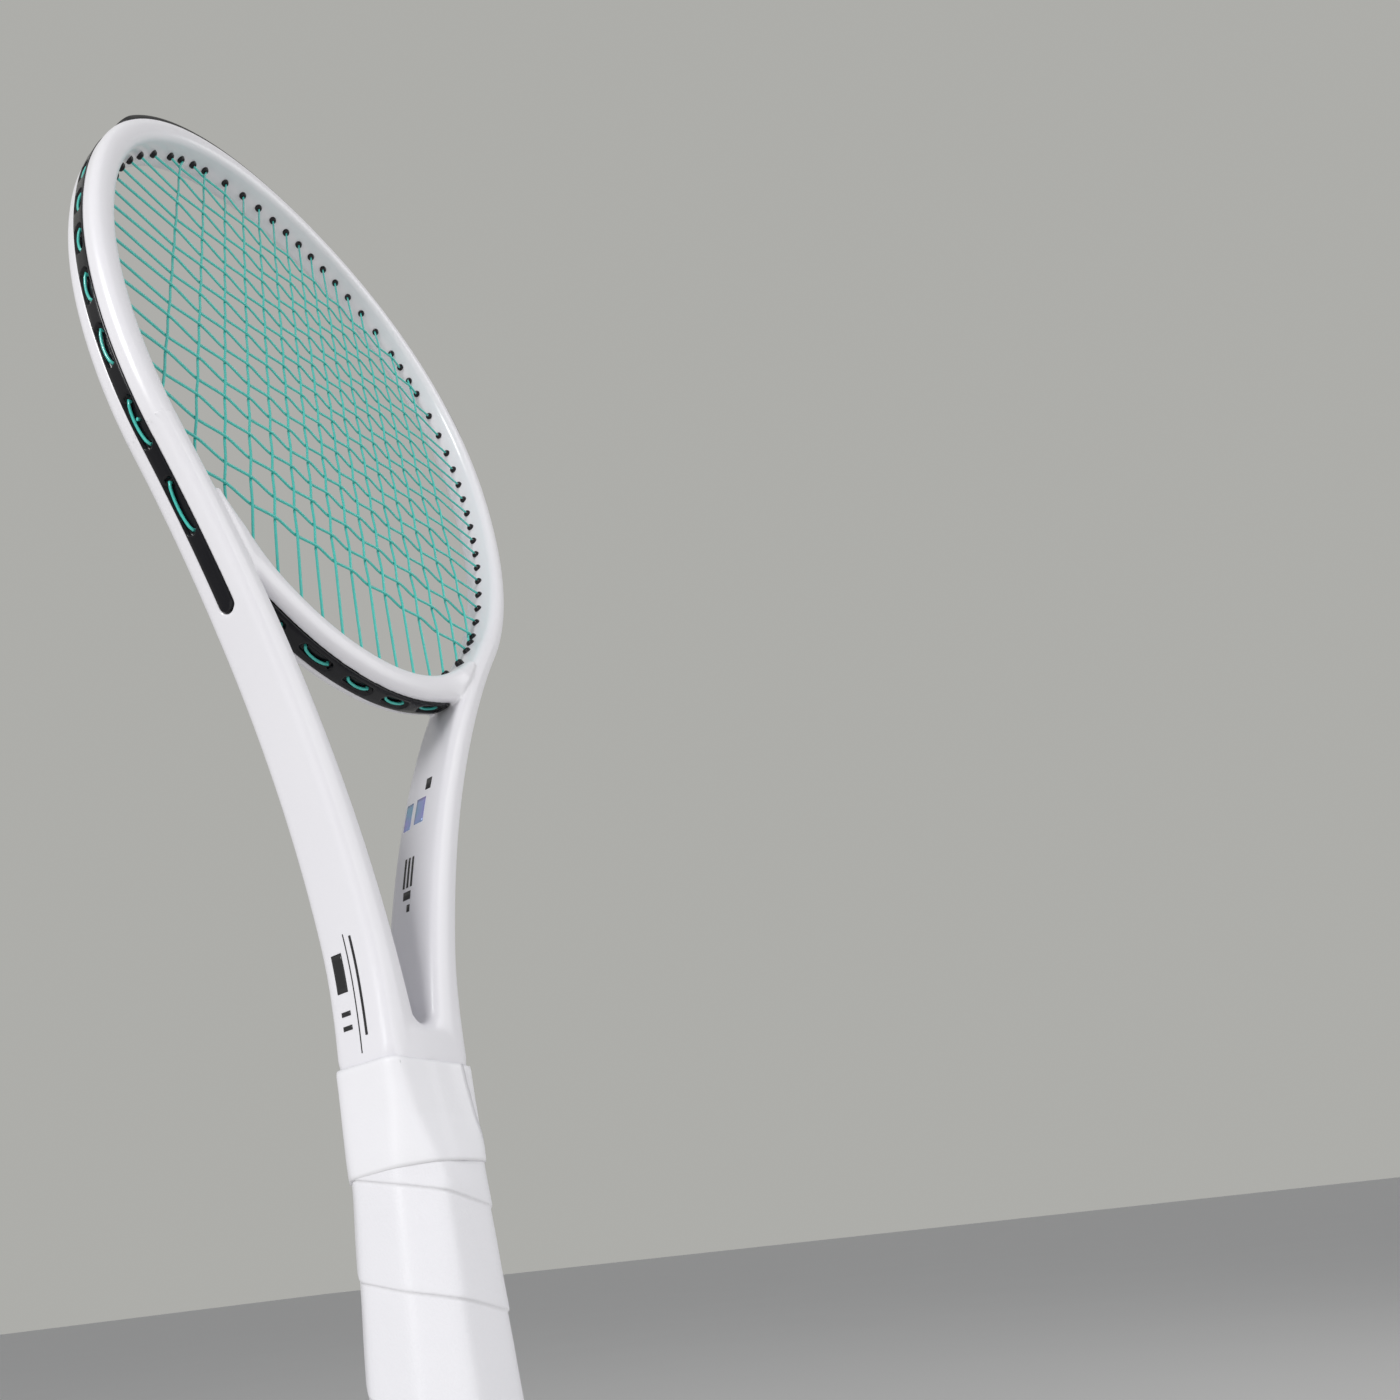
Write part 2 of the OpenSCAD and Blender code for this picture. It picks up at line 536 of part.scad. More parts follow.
// ---- butt cap: a moulded cup that the handle's end sits in, and its snap-in door ----
door_lip = 1.2;
module butt_cap() {
    color("gainsboro")
        difference() {
            union() {
                sweep([for (z = [0, rim_h]) ring_of(pallet_at(z, cap_flare))]);
                sweep([for (v = [moved(core_profile[0], rim_h - 0.5 - wrap_foot), core_profile[1], core_profile[2]])
                    ring_of(v)]);
            }
            sweep([for (z = [stem_z, cap_h + 1]) ring_of(pallet_at(z, 0.05))]);
            translate([-door_w / 2 - door_gap, -door_d / 2 - door_gap, -1])
                cube([door_w + 2 * door_gap, door_d + 2 * door_gap, stem_z + 2]);
        }
}
module trap_door() {
    color("silver")
        difference() {
            translate([-door_w / 2, -door_d / 2, 0.4]) cube([door_w, door_d, cap_wall + 6]);
            translate([door_lip - door_w / 2, -door_d, 0.4 + cap_wall]) cube([door_w - 2 * door_lip, 2 * door_d, 7]);
        }
}

frame();
throat_bridge();
bumper_guard();
throat_grommets();
main_string();
cross_string();
pallet_front();
pallet_back();
butt_cap();
trap_door();
base_grip();
overgrip();
finishing_tape();
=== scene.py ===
import json
import math

import bmesh
import bpy
import numpy as np
from mathutils import Matrix, Vector
from mathutils.bvhtree import BVHTree

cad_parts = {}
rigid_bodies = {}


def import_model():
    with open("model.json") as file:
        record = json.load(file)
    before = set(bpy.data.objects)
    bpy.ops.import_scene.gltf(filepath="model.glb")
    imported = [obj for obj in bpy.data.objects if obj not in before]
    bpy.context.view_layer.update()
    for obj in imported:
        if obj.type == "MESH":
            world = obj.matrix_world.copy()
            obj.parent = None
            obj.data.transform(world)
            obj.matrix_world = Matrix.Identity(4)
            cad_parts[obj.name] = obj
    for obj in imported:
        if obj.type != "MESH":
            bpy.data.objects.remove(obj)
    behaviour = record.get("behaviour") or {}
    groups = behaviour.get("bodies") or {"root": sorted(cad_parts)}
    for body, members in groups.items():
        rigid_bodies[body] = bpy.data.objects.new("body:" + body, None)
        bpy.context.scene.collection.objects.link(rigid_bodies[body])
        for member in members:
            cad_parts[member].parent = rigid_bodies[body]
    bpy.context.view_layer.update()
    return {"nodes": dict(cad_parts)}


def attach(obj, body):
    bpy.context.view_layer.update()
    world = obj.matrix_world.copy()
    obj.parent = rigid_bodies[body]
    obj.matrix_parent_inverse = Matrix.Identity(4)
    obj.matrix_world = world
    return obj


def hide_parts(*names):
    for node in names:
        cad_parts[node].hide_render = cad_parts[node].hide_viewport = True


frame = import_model()

# ---------------------------------------------------------------- camera
# A wide lens held low beside the handle, looking up the racket to its tip. The picture's other
# half is a second shot, so the lens is shifted to leave the racket in the left half.
EYE = Vector((-0.1847, -0.1495, 0.1595))
SIGHT = Vector((0.6251, 0.5169, 0.5849)).normalized()
LEVEL = Vector((0.685, -0.7225, -0.0936))
LEVEL = (LEVEL - SIGHT * LEVEL.dot(SIGHT)).normalized()
RISE = LEVEL.cross(SIGHT).normalized()


def placed(name, data):
    """A new object in the scene, made from its data."""
    obj = bpy.data.objects.new(name, data)
    bpy.context.collection.objects.link(obj)
    return obj


lens = bpy.data.cameras.new("camera")
lens.sensor_width = 36.0
lens.lens = 20.64
lens.shift_x = 0.248
lens.clip_start = 0.01
camera = placed("camera", lens)
camera.matrix_world = Matrix.Translation(EYE) @ Matrix((LEVEL, RISE, -SIGHT)).transposed().to_4x4()
bpy.context.scene.camera = camera
bpy.context.scene.view_settings.view_transform = "Standard"


# ---------------------------------------------------------------- frame: head hoop
# The frame is one moulded laminate hairpin, sanded, painted white and lacquered. Its head is an
# egg-shaped tube with a groove pressed round the outside for the grommet strips.
HEAD_A, HEAD_B, HEAD_EGG, HEAD_POWER, HEAD_Z = 124.0, 162.0, 0.105, 2.1, 511.1
HOOP_W, BEAM, EDGE_R, CROWN = 11.4, 21.0, 4.0, 0.25
GROOVE_HALF, GROOVE_DEPTH, GROOVE_END = 3.0, 2.8, 340.0
GROOVE_CLIMB = 0.86  # height gained for each millimetre along the shaft at the groove's end
LEAVE = -42.0  # the angle on the oval at which a shaft runs into the hoop


def oval(t, out=0.0):
    """A point on the string opening's edge, or out millimetres outside it."""
    r = math.radians(t)
    c, s = math.cos(r), math.sin(r)
    p = np.array([
        HEAD_A * math.copysign(abs(c) ** (2 / HEAD_POWER), c) * (1 + HEAD_EGG * s),
        HEAD_Z + HEAD_B * math.copysign(abs(s) ** (2 / HEAD_POWER), s)])
    return p if out == 0.0 else p + out * oval_normal(t)


def oval_normal(t):
    d = oval(t + 0.05) - oval(t - 0.05)
    return np.array([d[1], -d[0]]) / np.hypot(*d)


def unit(v):
    v = np.array(v, float)
    return v / np.hypot(*v)


SHAFT_FOOT, SHAFT_LEAN, SHAFT_W = np.array([12.0, 225.0]), unit((0.2, 1.0)), 12.2
ROOT_LENGTH = 17.0  # the straight end below the foot, inside the handle
SPREAD, SPREAD_TOP, SPREAD_RUN = 3.0, 240.0, 31.7
leave_pt = oval(LEAVE, HOOP_W / 2)
leave_dir = unit(oval(LEAVE, HOOP_W / 2) - oval(LEAVE + 0.1, HOOP_W / 2))
reach = np.hypot(*(leave_pt - SHAFT_FOOT)) / 3
shaft_curve = [SHAFT_FOOT, SHAFT_FOOT + reach * SHAFT_LEAN, leave_pt + reach * leave_dir, leave_pt]


def shaft_point(f):
    a, b, c, d = shaft_curve
    return (1 - f) ** 3 * a + 3 * (1 - f) ** 2 * f * b + 3 * (1 - f) * f * f * c + f ** 3 * d


def shaft_station(f):
    """Centre, outward normal and width of the right shaft, from its foot at 0 to the head at 1.

    Low down, and below the foot where f is negative, its outer side spreads to meet the handle."""
    d = SHAFT_LEAN if f < 0 else shaft_point(f + 0.001) - shaft_point(f - 0.001)
    centre = SHAFT_FOOT + ROOT_LENGTH * f * SHAFT_LEAN if f < 0 else shaft_point(f)
    normal = np.array([d[1], -d[0]]) / np.hypot(*d)
    spread = SPREAD * (max(0.0, SPREAD_TOP - centre[1]) / SPREAD_RUN) ** 2
    return centre + normal * spread / 2, normal, SHAFT_W + (HOOP_W - SHAFT_W) * max(f, 0.0) + spread


def hoop_station(t):
    return oval(t, HOOP_W / 2), oval_normal(t), HOOP_W


def groove_at(z):
    """Half width and depth of the groove at a height: it ends in a half round at the bottom."""
    s = (z - GROOVE_END) / GROOVE_CLIMB
    if s <= 0:
        return 0.3, 0.0
    if s >= GROOVE_HALF:
        return GROOVE_HALF, GROOVE_DEPTH
    return max(0.3, math.sqrt(GROOVE_HALF ** 2 - (GROOVE_HALF - s) ** 2)), GROOVE_DEPTH


def section(hw, hd, half_groove=0.3, depth=0.0, corner=EDGE_R):
    """The tube's outline as (outward, across) points: flat faces a little crowned, round corners."""
    c = min(corner, hw - 0.4)
    flat = hd - c

    def face(v):
        return hw - CROWN * (v / flat) ** 2

    g, soft, floor = half_groove, min(0.35, depth * 0.3), face(0) - depth
    up = [(floor, 0.0), (floor, g * 0.7), (face(0) - depth * 0.9, g * 0.97), (face(g) - soft, g)]
    up += [(face(v), v) for v in [g + 0.3 + (flat - g - 0.3) * k / 4 for k in range(5)]]
    arc = [(math.cos(a), math.sin(a)) for a in [math.pi / 2 * k / 9 for k in range(1, 10)]]
    up += [(hw - CROWN - c + c * x, flat - CROWN + c * y) for x, y in arc]
    up += [(0.0, hd)]
    up += [(c - hw + CROWN - c * x, flat - CROWN + c * y) for x, y in reversed(arc)]
    up += [(-face(v), v) for v in (flat, flat * 0.75, flat * 0.5, flat * 0.25, 0.0)]
    return up + [(u, -v) for u, v in reversed(up[1:-1])]


def rings_along(stations, corner=EDGE_R):
    """3-D rings of the section at each station, in millimetres."""
    rings = []
    for centre, normal, width in stations:
        ring = section(width / 2, BEAM / 2, *groove_at(centre[1]), corner)
        rings.append([(centre[0] + u * normal[0], v, centre[1] + u * normal[1]) for u, v in ring])
    return rings


def side_faces(count, n):
    """The quads that join count rings of n points in order."""
    return [(i * n + k, (i + 1) * n + k, (i + 1) * n + (k + 1) % n, i * n + (k + 1) % n)
            for i in range(count - 1) for k in range(n)]


def skin(name, rings):
    """A mesh object from rings of points in millimetres, joined in order, with its ends closed."""
    n = len(rings[0])
    verts = [tuple(float(c) * 0.001 for c in p) for r in rings for p in r]
    faces = side_faces(len(rings), n)
    faces.append(tuple(range(n - 1, -1, -1)))
    faces.append(tuple((len(rings) - 1) * n + k for k in range(n)))
    mesh = bpy.data.meshes.new(name)
    mesh.from_pydata(verts, [], faces)
    bm = bmesh.new()
    bm.from_mesh(mesh)
    bmesh.ops.remove_doubles(bm, verts=bm.verts, dist=1e-6)
    bmesh.ops.recalc_face_normals(bm, faces=bm.faces)
    bm.to_mesh(mesh)
    bm.free()
    mesh.polygons.foreach_set("use_smooth", [True] * len(mesh.polygons))
    return placed(name, mesh)


def flipped(rings):
    return [[(-p[0], p[1], p[2]) for p in r] for r in rings]


def material(name, colour, rough, metal=0.0):
    """A new material with its Principled shader, plus a place for that finish's own nodes."""
    m = bpy.data.materials.new(name)
    m.use_nodes = True
    shader = m.node_tree.nodes["Principled BSDF"]
    shader.inputs["Base Color"].default_value = (*colour, 1)
    shader.inputs["Roughness"].default_value = rough
    shader.inputs["Metallic"].default_value = metal
    return m, m.node_tree, shader


def wire(tree, *links):
    """Joins pairs of sockets in a node tree."""
    for a, b in links:
        tree.links.new(a, b)


# Handling marks that most of the finishes share: cloudy colour, uneven gloss and a fine relief.
wear = bpy.data.node_groups.new("surface_variation", "ShaderNodeTree")
for label, kind, value in (("Colour", "NodeSocketColor", (0.8, 0.8, 0.8, 1)),
                           ("Shade", "NodeSocketColor", (0.7, 0.7, 0.7, 1)),
                           ("Cloud Size", "NodeSocketFloat", 30.0), ("Grain Size", "NodeSocketFloat", 900.0),
                           ("Cloud Amount", "NodeSocketFloat", 0.3), ("Gloss Low", "NodeSocketFloat", 0.2),
                           ("Gloss High", "NodeSocketFloat", 0.3)):
    wear.interface.new_socket(name=label, in_out="INPUT", socket_type=kind).default_value = value
for label, kind in (("Colour", "NodeSocketColor"), ("Roughness", "NodeSocketFloat"),
                    ("Height", "NodeSocketFloat")):
    wear.interface.new_socket(name=label, in_out="OUTPUT", socket_type=kind)
g_in, g_out = wear.nodes.new("NodeGroupInput"), wear.nodes.new("NodeGroupOutput")
place = wear.nodes.new("ShaderNodeTexCoord")
cloud, grain = wear.nodes.new("ShaderNodeTexNoise"), wear.nodes.new("ShaderNodeTexNoise")
cloud.inputs["Detail"].default_value = 4
grain.inputs["Detail"].default_value = 2
tint = wear.nodes.new("ShaderNodeMix")
tint.data_type = "RGBA"
amount = wear.nodes.new("ShaderNodeMath")
amount.operation = "MULTIPLY"
gloss = wear.nodes.new("ShaderNodeMapRange")
wire(wear, (place.outputs["Object"], cloud.inputs["Vector"]),
     (place.outputs["Object"], grain.inputs["Vector"]),
     (g_in.outputs["Cloud Size"], cloud.inputs["Scale"]), (g_in.outputs["Grain Size"], grain.inputs["Scale"]),
     (cloud.outputs["Fac"], amount.inputs[0]), (g_in.outputs["Cloud Amount"], amount.inputs[1]),
     (amount.outputs[0], tint.inputs["Factor"]), (g_in.outputs["Colour"], tint.inputs["A"]),
     (g_in.outputs["Shade"], tint.inputs["B"]), (tint.outputs["Result"], g_out.inputs["Colour"]),
     (cloud.outputs["Fac"], gloss.inputs["Value"]), (g_in.outputs["Gloss Low"], gloss.inputs["To Min"]),
     (g_in.outputs["Gloss High"], gloss.inputs["To Max"]),
     (gloss.outputs["Result"], g_out.inputs["Roughness"]), (grain.outputs["Fac"], g_out.inputs["Height"]))


def vary(tree, shader, colour, shade, cloud_size, grain_size, cloud_amount, gloss_range, relief, distance):
    """Places the shared surface variation in one material with its own values."""
    node = tree.nodes.new("ShaderNodeGroup")
    node.node_tree = wear
    for label, value in (("Colour", (*colour, 1)), ("Shade", (*shade, 1)), ("Cloud Size", cloud_size),
                         ("Grain Size", grain_size), ("Cloud Amount", cloud_amount),
                         ("Gloss Low", gloss_range[0]), ("Gloss High", gloss_range[1])):
        node.inputs[label].default_value = value
    bump = tree.nodes.new("ShaderNodeBump")
    bump.inputs["Strength"].default_value = relief
    bump.inputs["Distance"].default_value = distance
    wire(tree, (node.outputs["Colour"], shader.inputs["Base Color"]),
         (node.outputs["Roughness"], shader.inputs["Roughness"]),
         (node.outputs["Height"], bump.inputs["Height"]), (bump.outputs["Normal"], shader.inputs["Normal"]))


paint, tree, shader = material("white_lacquer", (0.80, 0.79, 0.82), 0.2)
vary(tree, shader, (0.82, 0.81, 0.84), (0.74, 0.73, 0.78), 14.0, 700.0, 0.5, (0.24, 0.36), 0.04, 0.0003)
shader.inputs["Coat Weight"].default_value = 0.25
shader.inputs["Coat Roughness"].default_value = 0.15

HOOP_FROM, SHARED = 398.0, 75.0  # the head's mesh starts there; its surface is known that far below
right_side = [shaft_station(f) for f in np.linspace(0.0, 1.0, 160, endpoint=False)]
right_side += [hoop_station(t) for t in np.arange(LEAVE, 89.5, 1.0)]
right_hoop = [s for s in right_side if s[0][1] > HOOP_FROM - SHARED]
tip = [hoop_station(90.0)]
left_hoop = [(np.array([-c[0], c[1]]), np.array([-n[0], n[1]]), w) for c, n, w in reversed(right_hoop)]
whole_hoop = right_hoop + tip + left_hoop
head_rings = rings_along(whole_hoop)
above = [r for r, s in zip(head_rings, whole_hoop) if s[0][1] > HOOP_FROM]
for end, step in ((0, 1), (-1, -1)):
    # both ends run on under the shafts' skin and dip inside it, so that no edge shows at the join:
    # so many ring spacings further on, and that share of the way in to the section's middle
    last, before = np.array(above[end]), np.array(above[end + step])
    for far, dip in ((0.5, 0.002), (1.2, 0.02), (1.5, 0.08)):
        p = last + (last - before) * far
        p = p + (p.mean(axis=0) - p) * dip
        above.insert(0 if end == 0 else len(above), [tuple(q) for q in p])
head = skin("head_hoop", above)
head.data.materials.append(paint)
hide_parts("frame")
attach(head, "racket")


# ---------------------------------------------------------------- frame: shafts, throat and bridge
# Below the head the same laminate runs down as two shafts into the handle. The bridge is laid up
# separately and moulded in, so its joints flow into the shafts as soft fillets of paint.
BRIDGE_W, BRIDGE_BEAM, BRIDGE_GROOVE, BRIDGE_ENDS = 12.0, 18.8, 4.5, 38.0
BRIDGE_GROOVE_END, FILLET_FROM = 25.0, 23.5  # degrees to each side of the racket's middle
BRIDGE_FLARE, FILLET, MM_PER_DEGREE = 14.0, 9.0, 2.3
CROTCH_R, CROTCH_MID, ROOT_CORNER = 5.4, 221.4, 3.2


def shaft_height(z):
    """How far up the right shaft's curve a height lies, below 0 in the handle."""
    lo, hi = -1.0, 1.0
    for _ in range(24):
        m = (lo + hi) / 2
        lo, hi = (m, hi) if shaft_station(m)[0][1] < z else (lo, m)
    return lo


def shaft_run(top):
    """The right shaft's stations from its root up to a height, close together at the groove's end."""
    run = [shaft_station(f) for f in np.linspace(-1.0, 0.0, 12, endpoint=False)]
    run += [s for s in right_side if s[0][1] < top]
    out = []
    for a, b in zip(run[:-1], run[1:]):
        parts = 5 if abs(a[0][1] - GROOVE_END - 2) < 6 else 1
        out += [tuple(a[k] + (b[k] - a[k]) * i / parts for k in range(3)) for i in range(parts)]
    return out + [run[-1]]


def bridge_width(a):
    return BRIDGE_W + BRIDGE_FLARE * (abs(a) / BRIDGE_ENDS) ** 5


# how far the bridge may reach out from the string opening before it meets the shaft's middle
mid_z = np.array([s[0][1] for s in right_side if s[0][1] < HEAD_Z])
mid_x = np.array([s[0][0] for s in right_side if s[0][1] < HEAD_Z])


def bridge_limit(a):
    r = 1.0
    while r < 40:
        p = oval(a - 90, r)
        if abs(p[0]) > np.interp(p[1], mid_z, mid_x):
            return r
        r += 0.25
    return r


bridge_rings = []
for a in np.arange(-BRIDGE_ENDS, BRIDGE_ENDS + 0.1, 0.5):
    fillet = FILLET * max(0.0, (abs(a) - FILLET_FROM) / 7.0) ** 2
    w = min(bridge_width(a) + fillet, bridge_limit(a))
    deep = BRIDGE_BEAM + (BEAM - BRIDGE_BEAM) * min(1.0, max(0.0, (abs(a) - 22) / 9.0)) ** 2
    s = (BRIDGE_GROOVE_END - abs(a)) * MM_PER_DEGREE
    short = BRIDGE_GROOVE - min(s, BRIDGE_GROOVE)
    half = 0.3 if s <= 0 else math.sqrt(max(0.1, BRIDGE_GROOVE ** 2 - short ** 2))
    centre, normal = oval(a - 90, w / 2), oval_normal(a - 90)
    ring = section(w / 2, deep / 2, half, GROOVE_DEPTH if s > 0 else 0.0)
    bridge_rings.append([(centre[0] + u * normal[0], v, centre[1] + u * normal[1]) for u, v in ring])

crotch_rings = []
for a in np.linspace(-168, -12, 40):
    d = np.array([math.cos(math.radians(a)), math.sin(math.radians(a))])
    web = SHAFT_W / 2
    edge = [(CROTCH_R + web - u, v) for u, v in section(web, BEAM / 2) if u > 0]
    edge.sort(key=lambda q: q[1])
    ring = edge + [(CROTCH_R + web + 3, 9.0), (CROTCH_R + web + 3, -9.0)]
    crotch_rings.append([(r * d[0], v, CROTCH_MID + r * d[1]) for r, v in ring])

neck_rings = []  # height and half width, where the shafts have run together above the handle
for z, hw in ((196.0, 17.0), (204.0, 17.5), (209.0, 17.7), (213.0, 17.7)):
    neck_rings.append([(v, u, z) for u, v in section(BEAM / 2 + 0.1, hw, corner=4.2)])


def join_parts(name, parts):
    """Several objects made into one."""
    for o in bpy.context.view_layer.objects:
        o.select_set(o in parts)
    bpy.context.view_layer.objects.active = parts[0]
    bpy.ops.object.join()
    one = bpy.context.view_layer.objects.active
    one.name = name
    return one


shaft_rings = rings_along(shaft_run(HOOP_FROM + 5), ROOT_CORNER)
throat = join_parts("throat_and_shafts", [
    skin("right_shaft", shaft_rings), skin("left_shaft", flipped(shaft_rings)),
    skin("bridge_blank", bridge_rings), skin("crotch_blank", crotch_rings), skin("neck_blank", neck_rings)])
guide = BVHTree.FromPolygons([tuple(c / 1000 for c in p) for r in head_rings for p in r],
                             side_faces(len(head_rings), len(head_rings[0])))
remesh = throat.modifiers.new("moulding", "REMESH")
remesh.mode = "VOXEL"
remesh.voxel_size = 0.0007
remesh.use_smooth_shade = True
relax = throat.modifiers.new("fillets", "SMOOTH")
relax.factor = 0.5
relax.iterations = 5


def settle(obj):
    """Turns an object and its modifiers into plain mesh."""
    plain = bpy.data.meshes.new_from_object(obj.evaluated_get(bpy.context.evaluated_depsgraph_get()))
    obj.modifiers.clear()
    obj.data = plain


settle(throat)
# Its upper ends come to lie on the head's own surface over the last BLEND millimetres, where they
# are within NEAR metres of it, and dip under it by JOIN_DIP past the join.
BLEND, NEAR, JOIN_DIP = 60.0, 0.0014, 0.00006
for v in throat.data.vertices:
    z = v.co.z * 1000
    if z > HOOP_FROM - BLEND:
        hit, normal, _, away = guide.find_nearest(v.co)
        if hit is not None and away < NEAR:
            f = min(1.0, (z - HOOP_FROM + BLEND) / 45.0) * min(1.0, (NEAR - away) / 0.0005)
            v.co = v.co.lerp(hit - normal * JOIN_DIP * min(1.0, max(0.0, (z - HOOP_FROM - 0.6) / 2)), f)
throat.data.materials.clear()
throat.data.materials.append(paint)
throat.data.polygons.foreach_set("use_smooth", [True] * len(throat.data.polygons))
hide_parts("frame", "throat_bridge")
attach(throat, "racket")


# ---------------------------------------------------------------- grommet strips and bumper
# Glossy black nylon strips pressed into the groove, with a barrel for each string and raised pads
# between the recesses that the strings lie in. Over the tip the strip widens into a bumper guard.
STRIP_T, STRIP_PROUD, RECESS_HALF, BARREL_OUT = 1.1, 0.3, 2.35, 0.5

nylon, tree, shader = material("black_nylon", (0.006, 0.006, 0.008), 0.25)
vary(tree, shader, (0.004, 0.004, 0.006), (0.011, 0.011, 0.014), 60.0, 1400.0, 0.6, (0.16, 0.28),
     0.06, 0.0002)
shader.inputs["Specular IOR Level"].default_value = 0.3

MAINS, CROSSES, BRIDGE_MAINS = 8, 19, 5


# the strings stand closer together in the middle of the bed than at its edges
def main_x(i):
    return 10.4 * (i - 0.5) + 0.032 * (i - 0.5) ** 3


def cross_z(j):
    k = 9 - j
    return 516 + 12.5 * k + 0.05 * k * k + 0.011 * k ** 3


def rim_angle(x, up):
    """The angle on the oval where a main string at x meets it, above or below."""
    t = 0.0
    for _ in range(12):
        c = (x / (HEAD_A * (1 + HEAD_EGG * math.sin(math.radians(t))))) ** (HEAD_POWER / 2)
        t = up * math.degrees(math.acos(min(c, 1.0)))
    return t


def cross_angle(z):
    v = (z - HEAD_Z) / HEAD_B
    return math.degrees(math.asin(math.copysign(abs(v) ** (HEAD_POWER / 2), v)))


def with_length(stations):
    """A path: its stations, their centres and the length run so far at each."""
    pts = np.array([s[0] for s in stations])
    run = np.concatenate([[0.0], np.cumsum(np.hypot(*np.diff(pts, axis=0).T))])
    return stations, pts, run


rim_path = with_length(right_side + tip)
bridge_path = with_length([(oval(a - 90, bridge_width(a) / 2), oval_normal(a - 90), bridge_width(a))
                           for a in np.arange(-30, 30.1, 0.5)])


def along(path, p):
    """Centre, outward normal, width and length run at the place on a path nearest to p."""
    stations, pts, run = path
    k = int(np.argmin(np.hypot(*(pts - p).T)))
    a, b = max(k - 1, 0), min(k + 1, len(pts) - 1)
    d = pts[b] - pts[a]
    f = float(np.clip(np.dot(p - pts[a], d) / np.dot(d, d), 0, 1))
    n = stations[a][1] * (1 - f) + stations[b][1] * f
    return pts[a] + f * d, unit(n), stations[k][2], run[a] + f * (run[b] - run[a])


def strip_top(path, p, lift=0.0):
    """The point on a recess's floor nearest to p, and the outward normal there."""
    side = -1.0 if path is rim_path and p[0] < 0 else 1.0
    c, n, w, _ = along(path, np.array([p[0] * side, p[1]]))
    out = c + n * (w / 2 - GROOVE_DEPTH + STRIP_T + lift)
    return np.array([out[0] * side, out[1]]), np.array([n[0] * side, n[1]])


def rim_hole(t, side=1.0):
    """(inner point, outward direction, outer point) of a hole square to the hoop."""
    p = oval(t)
    out = strip_top(rim_path, p)[0]
    return tuple(np.array([q[0] * side, q[1]]) for q in (p, unit(out - p), out))


def bridge_hole(x, side=1.0):
    p = oval(rim_angle(x, -1))
    z = p[1] - 10.0
    for _ in range(3):
        out, n = strip_top(bridge_path, np.array([p[0], z]))
        z = p[1] + float(np.dot(out - p, n)) / n[1]
    return tuple(np.array([q[0] * side, q[1]]) for q in (p, np.array([0.0, -1.0]), np.array([p[0], z])))


tops = {s * i: rim_hole(rim_angle(main_x(i), 1), s) for i in range(1, MAINS + 1) for s in (1.0, -1.0)}
feet = {s * i: (bridge_hole(main_x(i), s) if i <= BRIDGE_MAINS else rim_hole(rim_angle(main_x(i), -1), s))
        for i in range(1, MAINS + 1) for s in (1.0, -1.0)}
ends = {(j, s): rim_hole(cross_angle(cross_z(j)), s) for j in range(CROSSES) for s in (1.0, -1.0)}
hoop_holes = list(tops.values()) + [h for i, h in feet.items() if abs(i) > BRIDGE_MAINS] + list(ends.values())
throat_holes = [h for i, h in feet.items() if abs(i) <= BRIDGE_MAINS]


def strip(path, first, last, half, loops):
    """Rings of a strip from one length along a path to another, recessed round each string loop.

    The ends are half round. Each loop is the pair of lengths at which its two holes lie."""
    rings = []
    for run in np.arange(first, last, 0.4):
        c, n, w = station_at(path, run)
        end = min(run - first, last - run)
        h = half if end >= half else math.sqrt(max(0.05, half ** 2 - (half - end) ** 2))
        inside = max([min(run - a, b - run) + 2.0 for a, b in loops] + [0.0])
        r = 0.0 if inside <= 0 else RECESS_HALF * math.sqrt(1 - (1 - min(1.0, inside / RECESS_HALF)) ** 2)
        r = min(max(r, 0.3), max(0.2, h - 0.45))
        f, sunk = w / 2, min(1.0, inside / 0.8)
        top, floor = f + STRIP_PROUD, f + STRIP_PROUD - sunk * (GROOVE_DEPTH - STRIP_T + STRIP_PROUD)
        base = f - GROOVE_DEPTH + 0.2
        prof = [(base, 0.0), (base, h), (f + 0.1, h), (top - 0.06, h - 0.22), (top, r + (h - r) * 0.35),
                (top - 0.08 * sunk, r + 0.08), (floor + 0.12 * sunk, r), (floor, r * 0.6), (floor, 0.0)]
        ring = prof + [(u, -v) for u, v in reversed(prof[1:-1])]
        rings.append([(c[0] + u * n[0], v, c[1] + u * n[1]) for u, v in ring])
    return rings


def station_at(path, run):
    """Centre, outward normal and width at a length run along a path."""
    stations, pts, runs = path
    k = min(max(int(np.searchsorted(runs, run)) - 1, 0), len(pts) - 2)
    f = (run - runs[k]) / (runs[k + 1] - runs[k])
    n = stations[k][1] * (1 - f) + stations[k + 1][1] * f
    width = stations[k][2] * (1 - f) + stations[k + 1][2] * f
    return pts[k] * (1 - f) + pts[k + 1] * f, unit(n), width


def loop_spans(pairs, path, side):
    """The lengths along a path at which each loop's two holes lie, lower one first."""
    return [tuple(sorted(along(path, np.array([h[2][0] * side, h[2][1]]))[3] for h in pair))
            for pair in pairs]


def rim_pairs(side):
    """The neighbouring holes on one side of the rim that a string loop joins."""
    pairs = [(ends[(j, side)], ends[(j + 1, side)]) for j in range(CROSSES - 1) if (j % 2 == 0) == (side > 0)]
    pairs += [(tops[side * i], tops[side * (i - 1)]) for i in range(MAINS, 1, -2)]
    return pairs + [(feet[side * (BRIDGE_MAINS + 2)], feet[side * (BRIDGE_MAINS + 1)])]


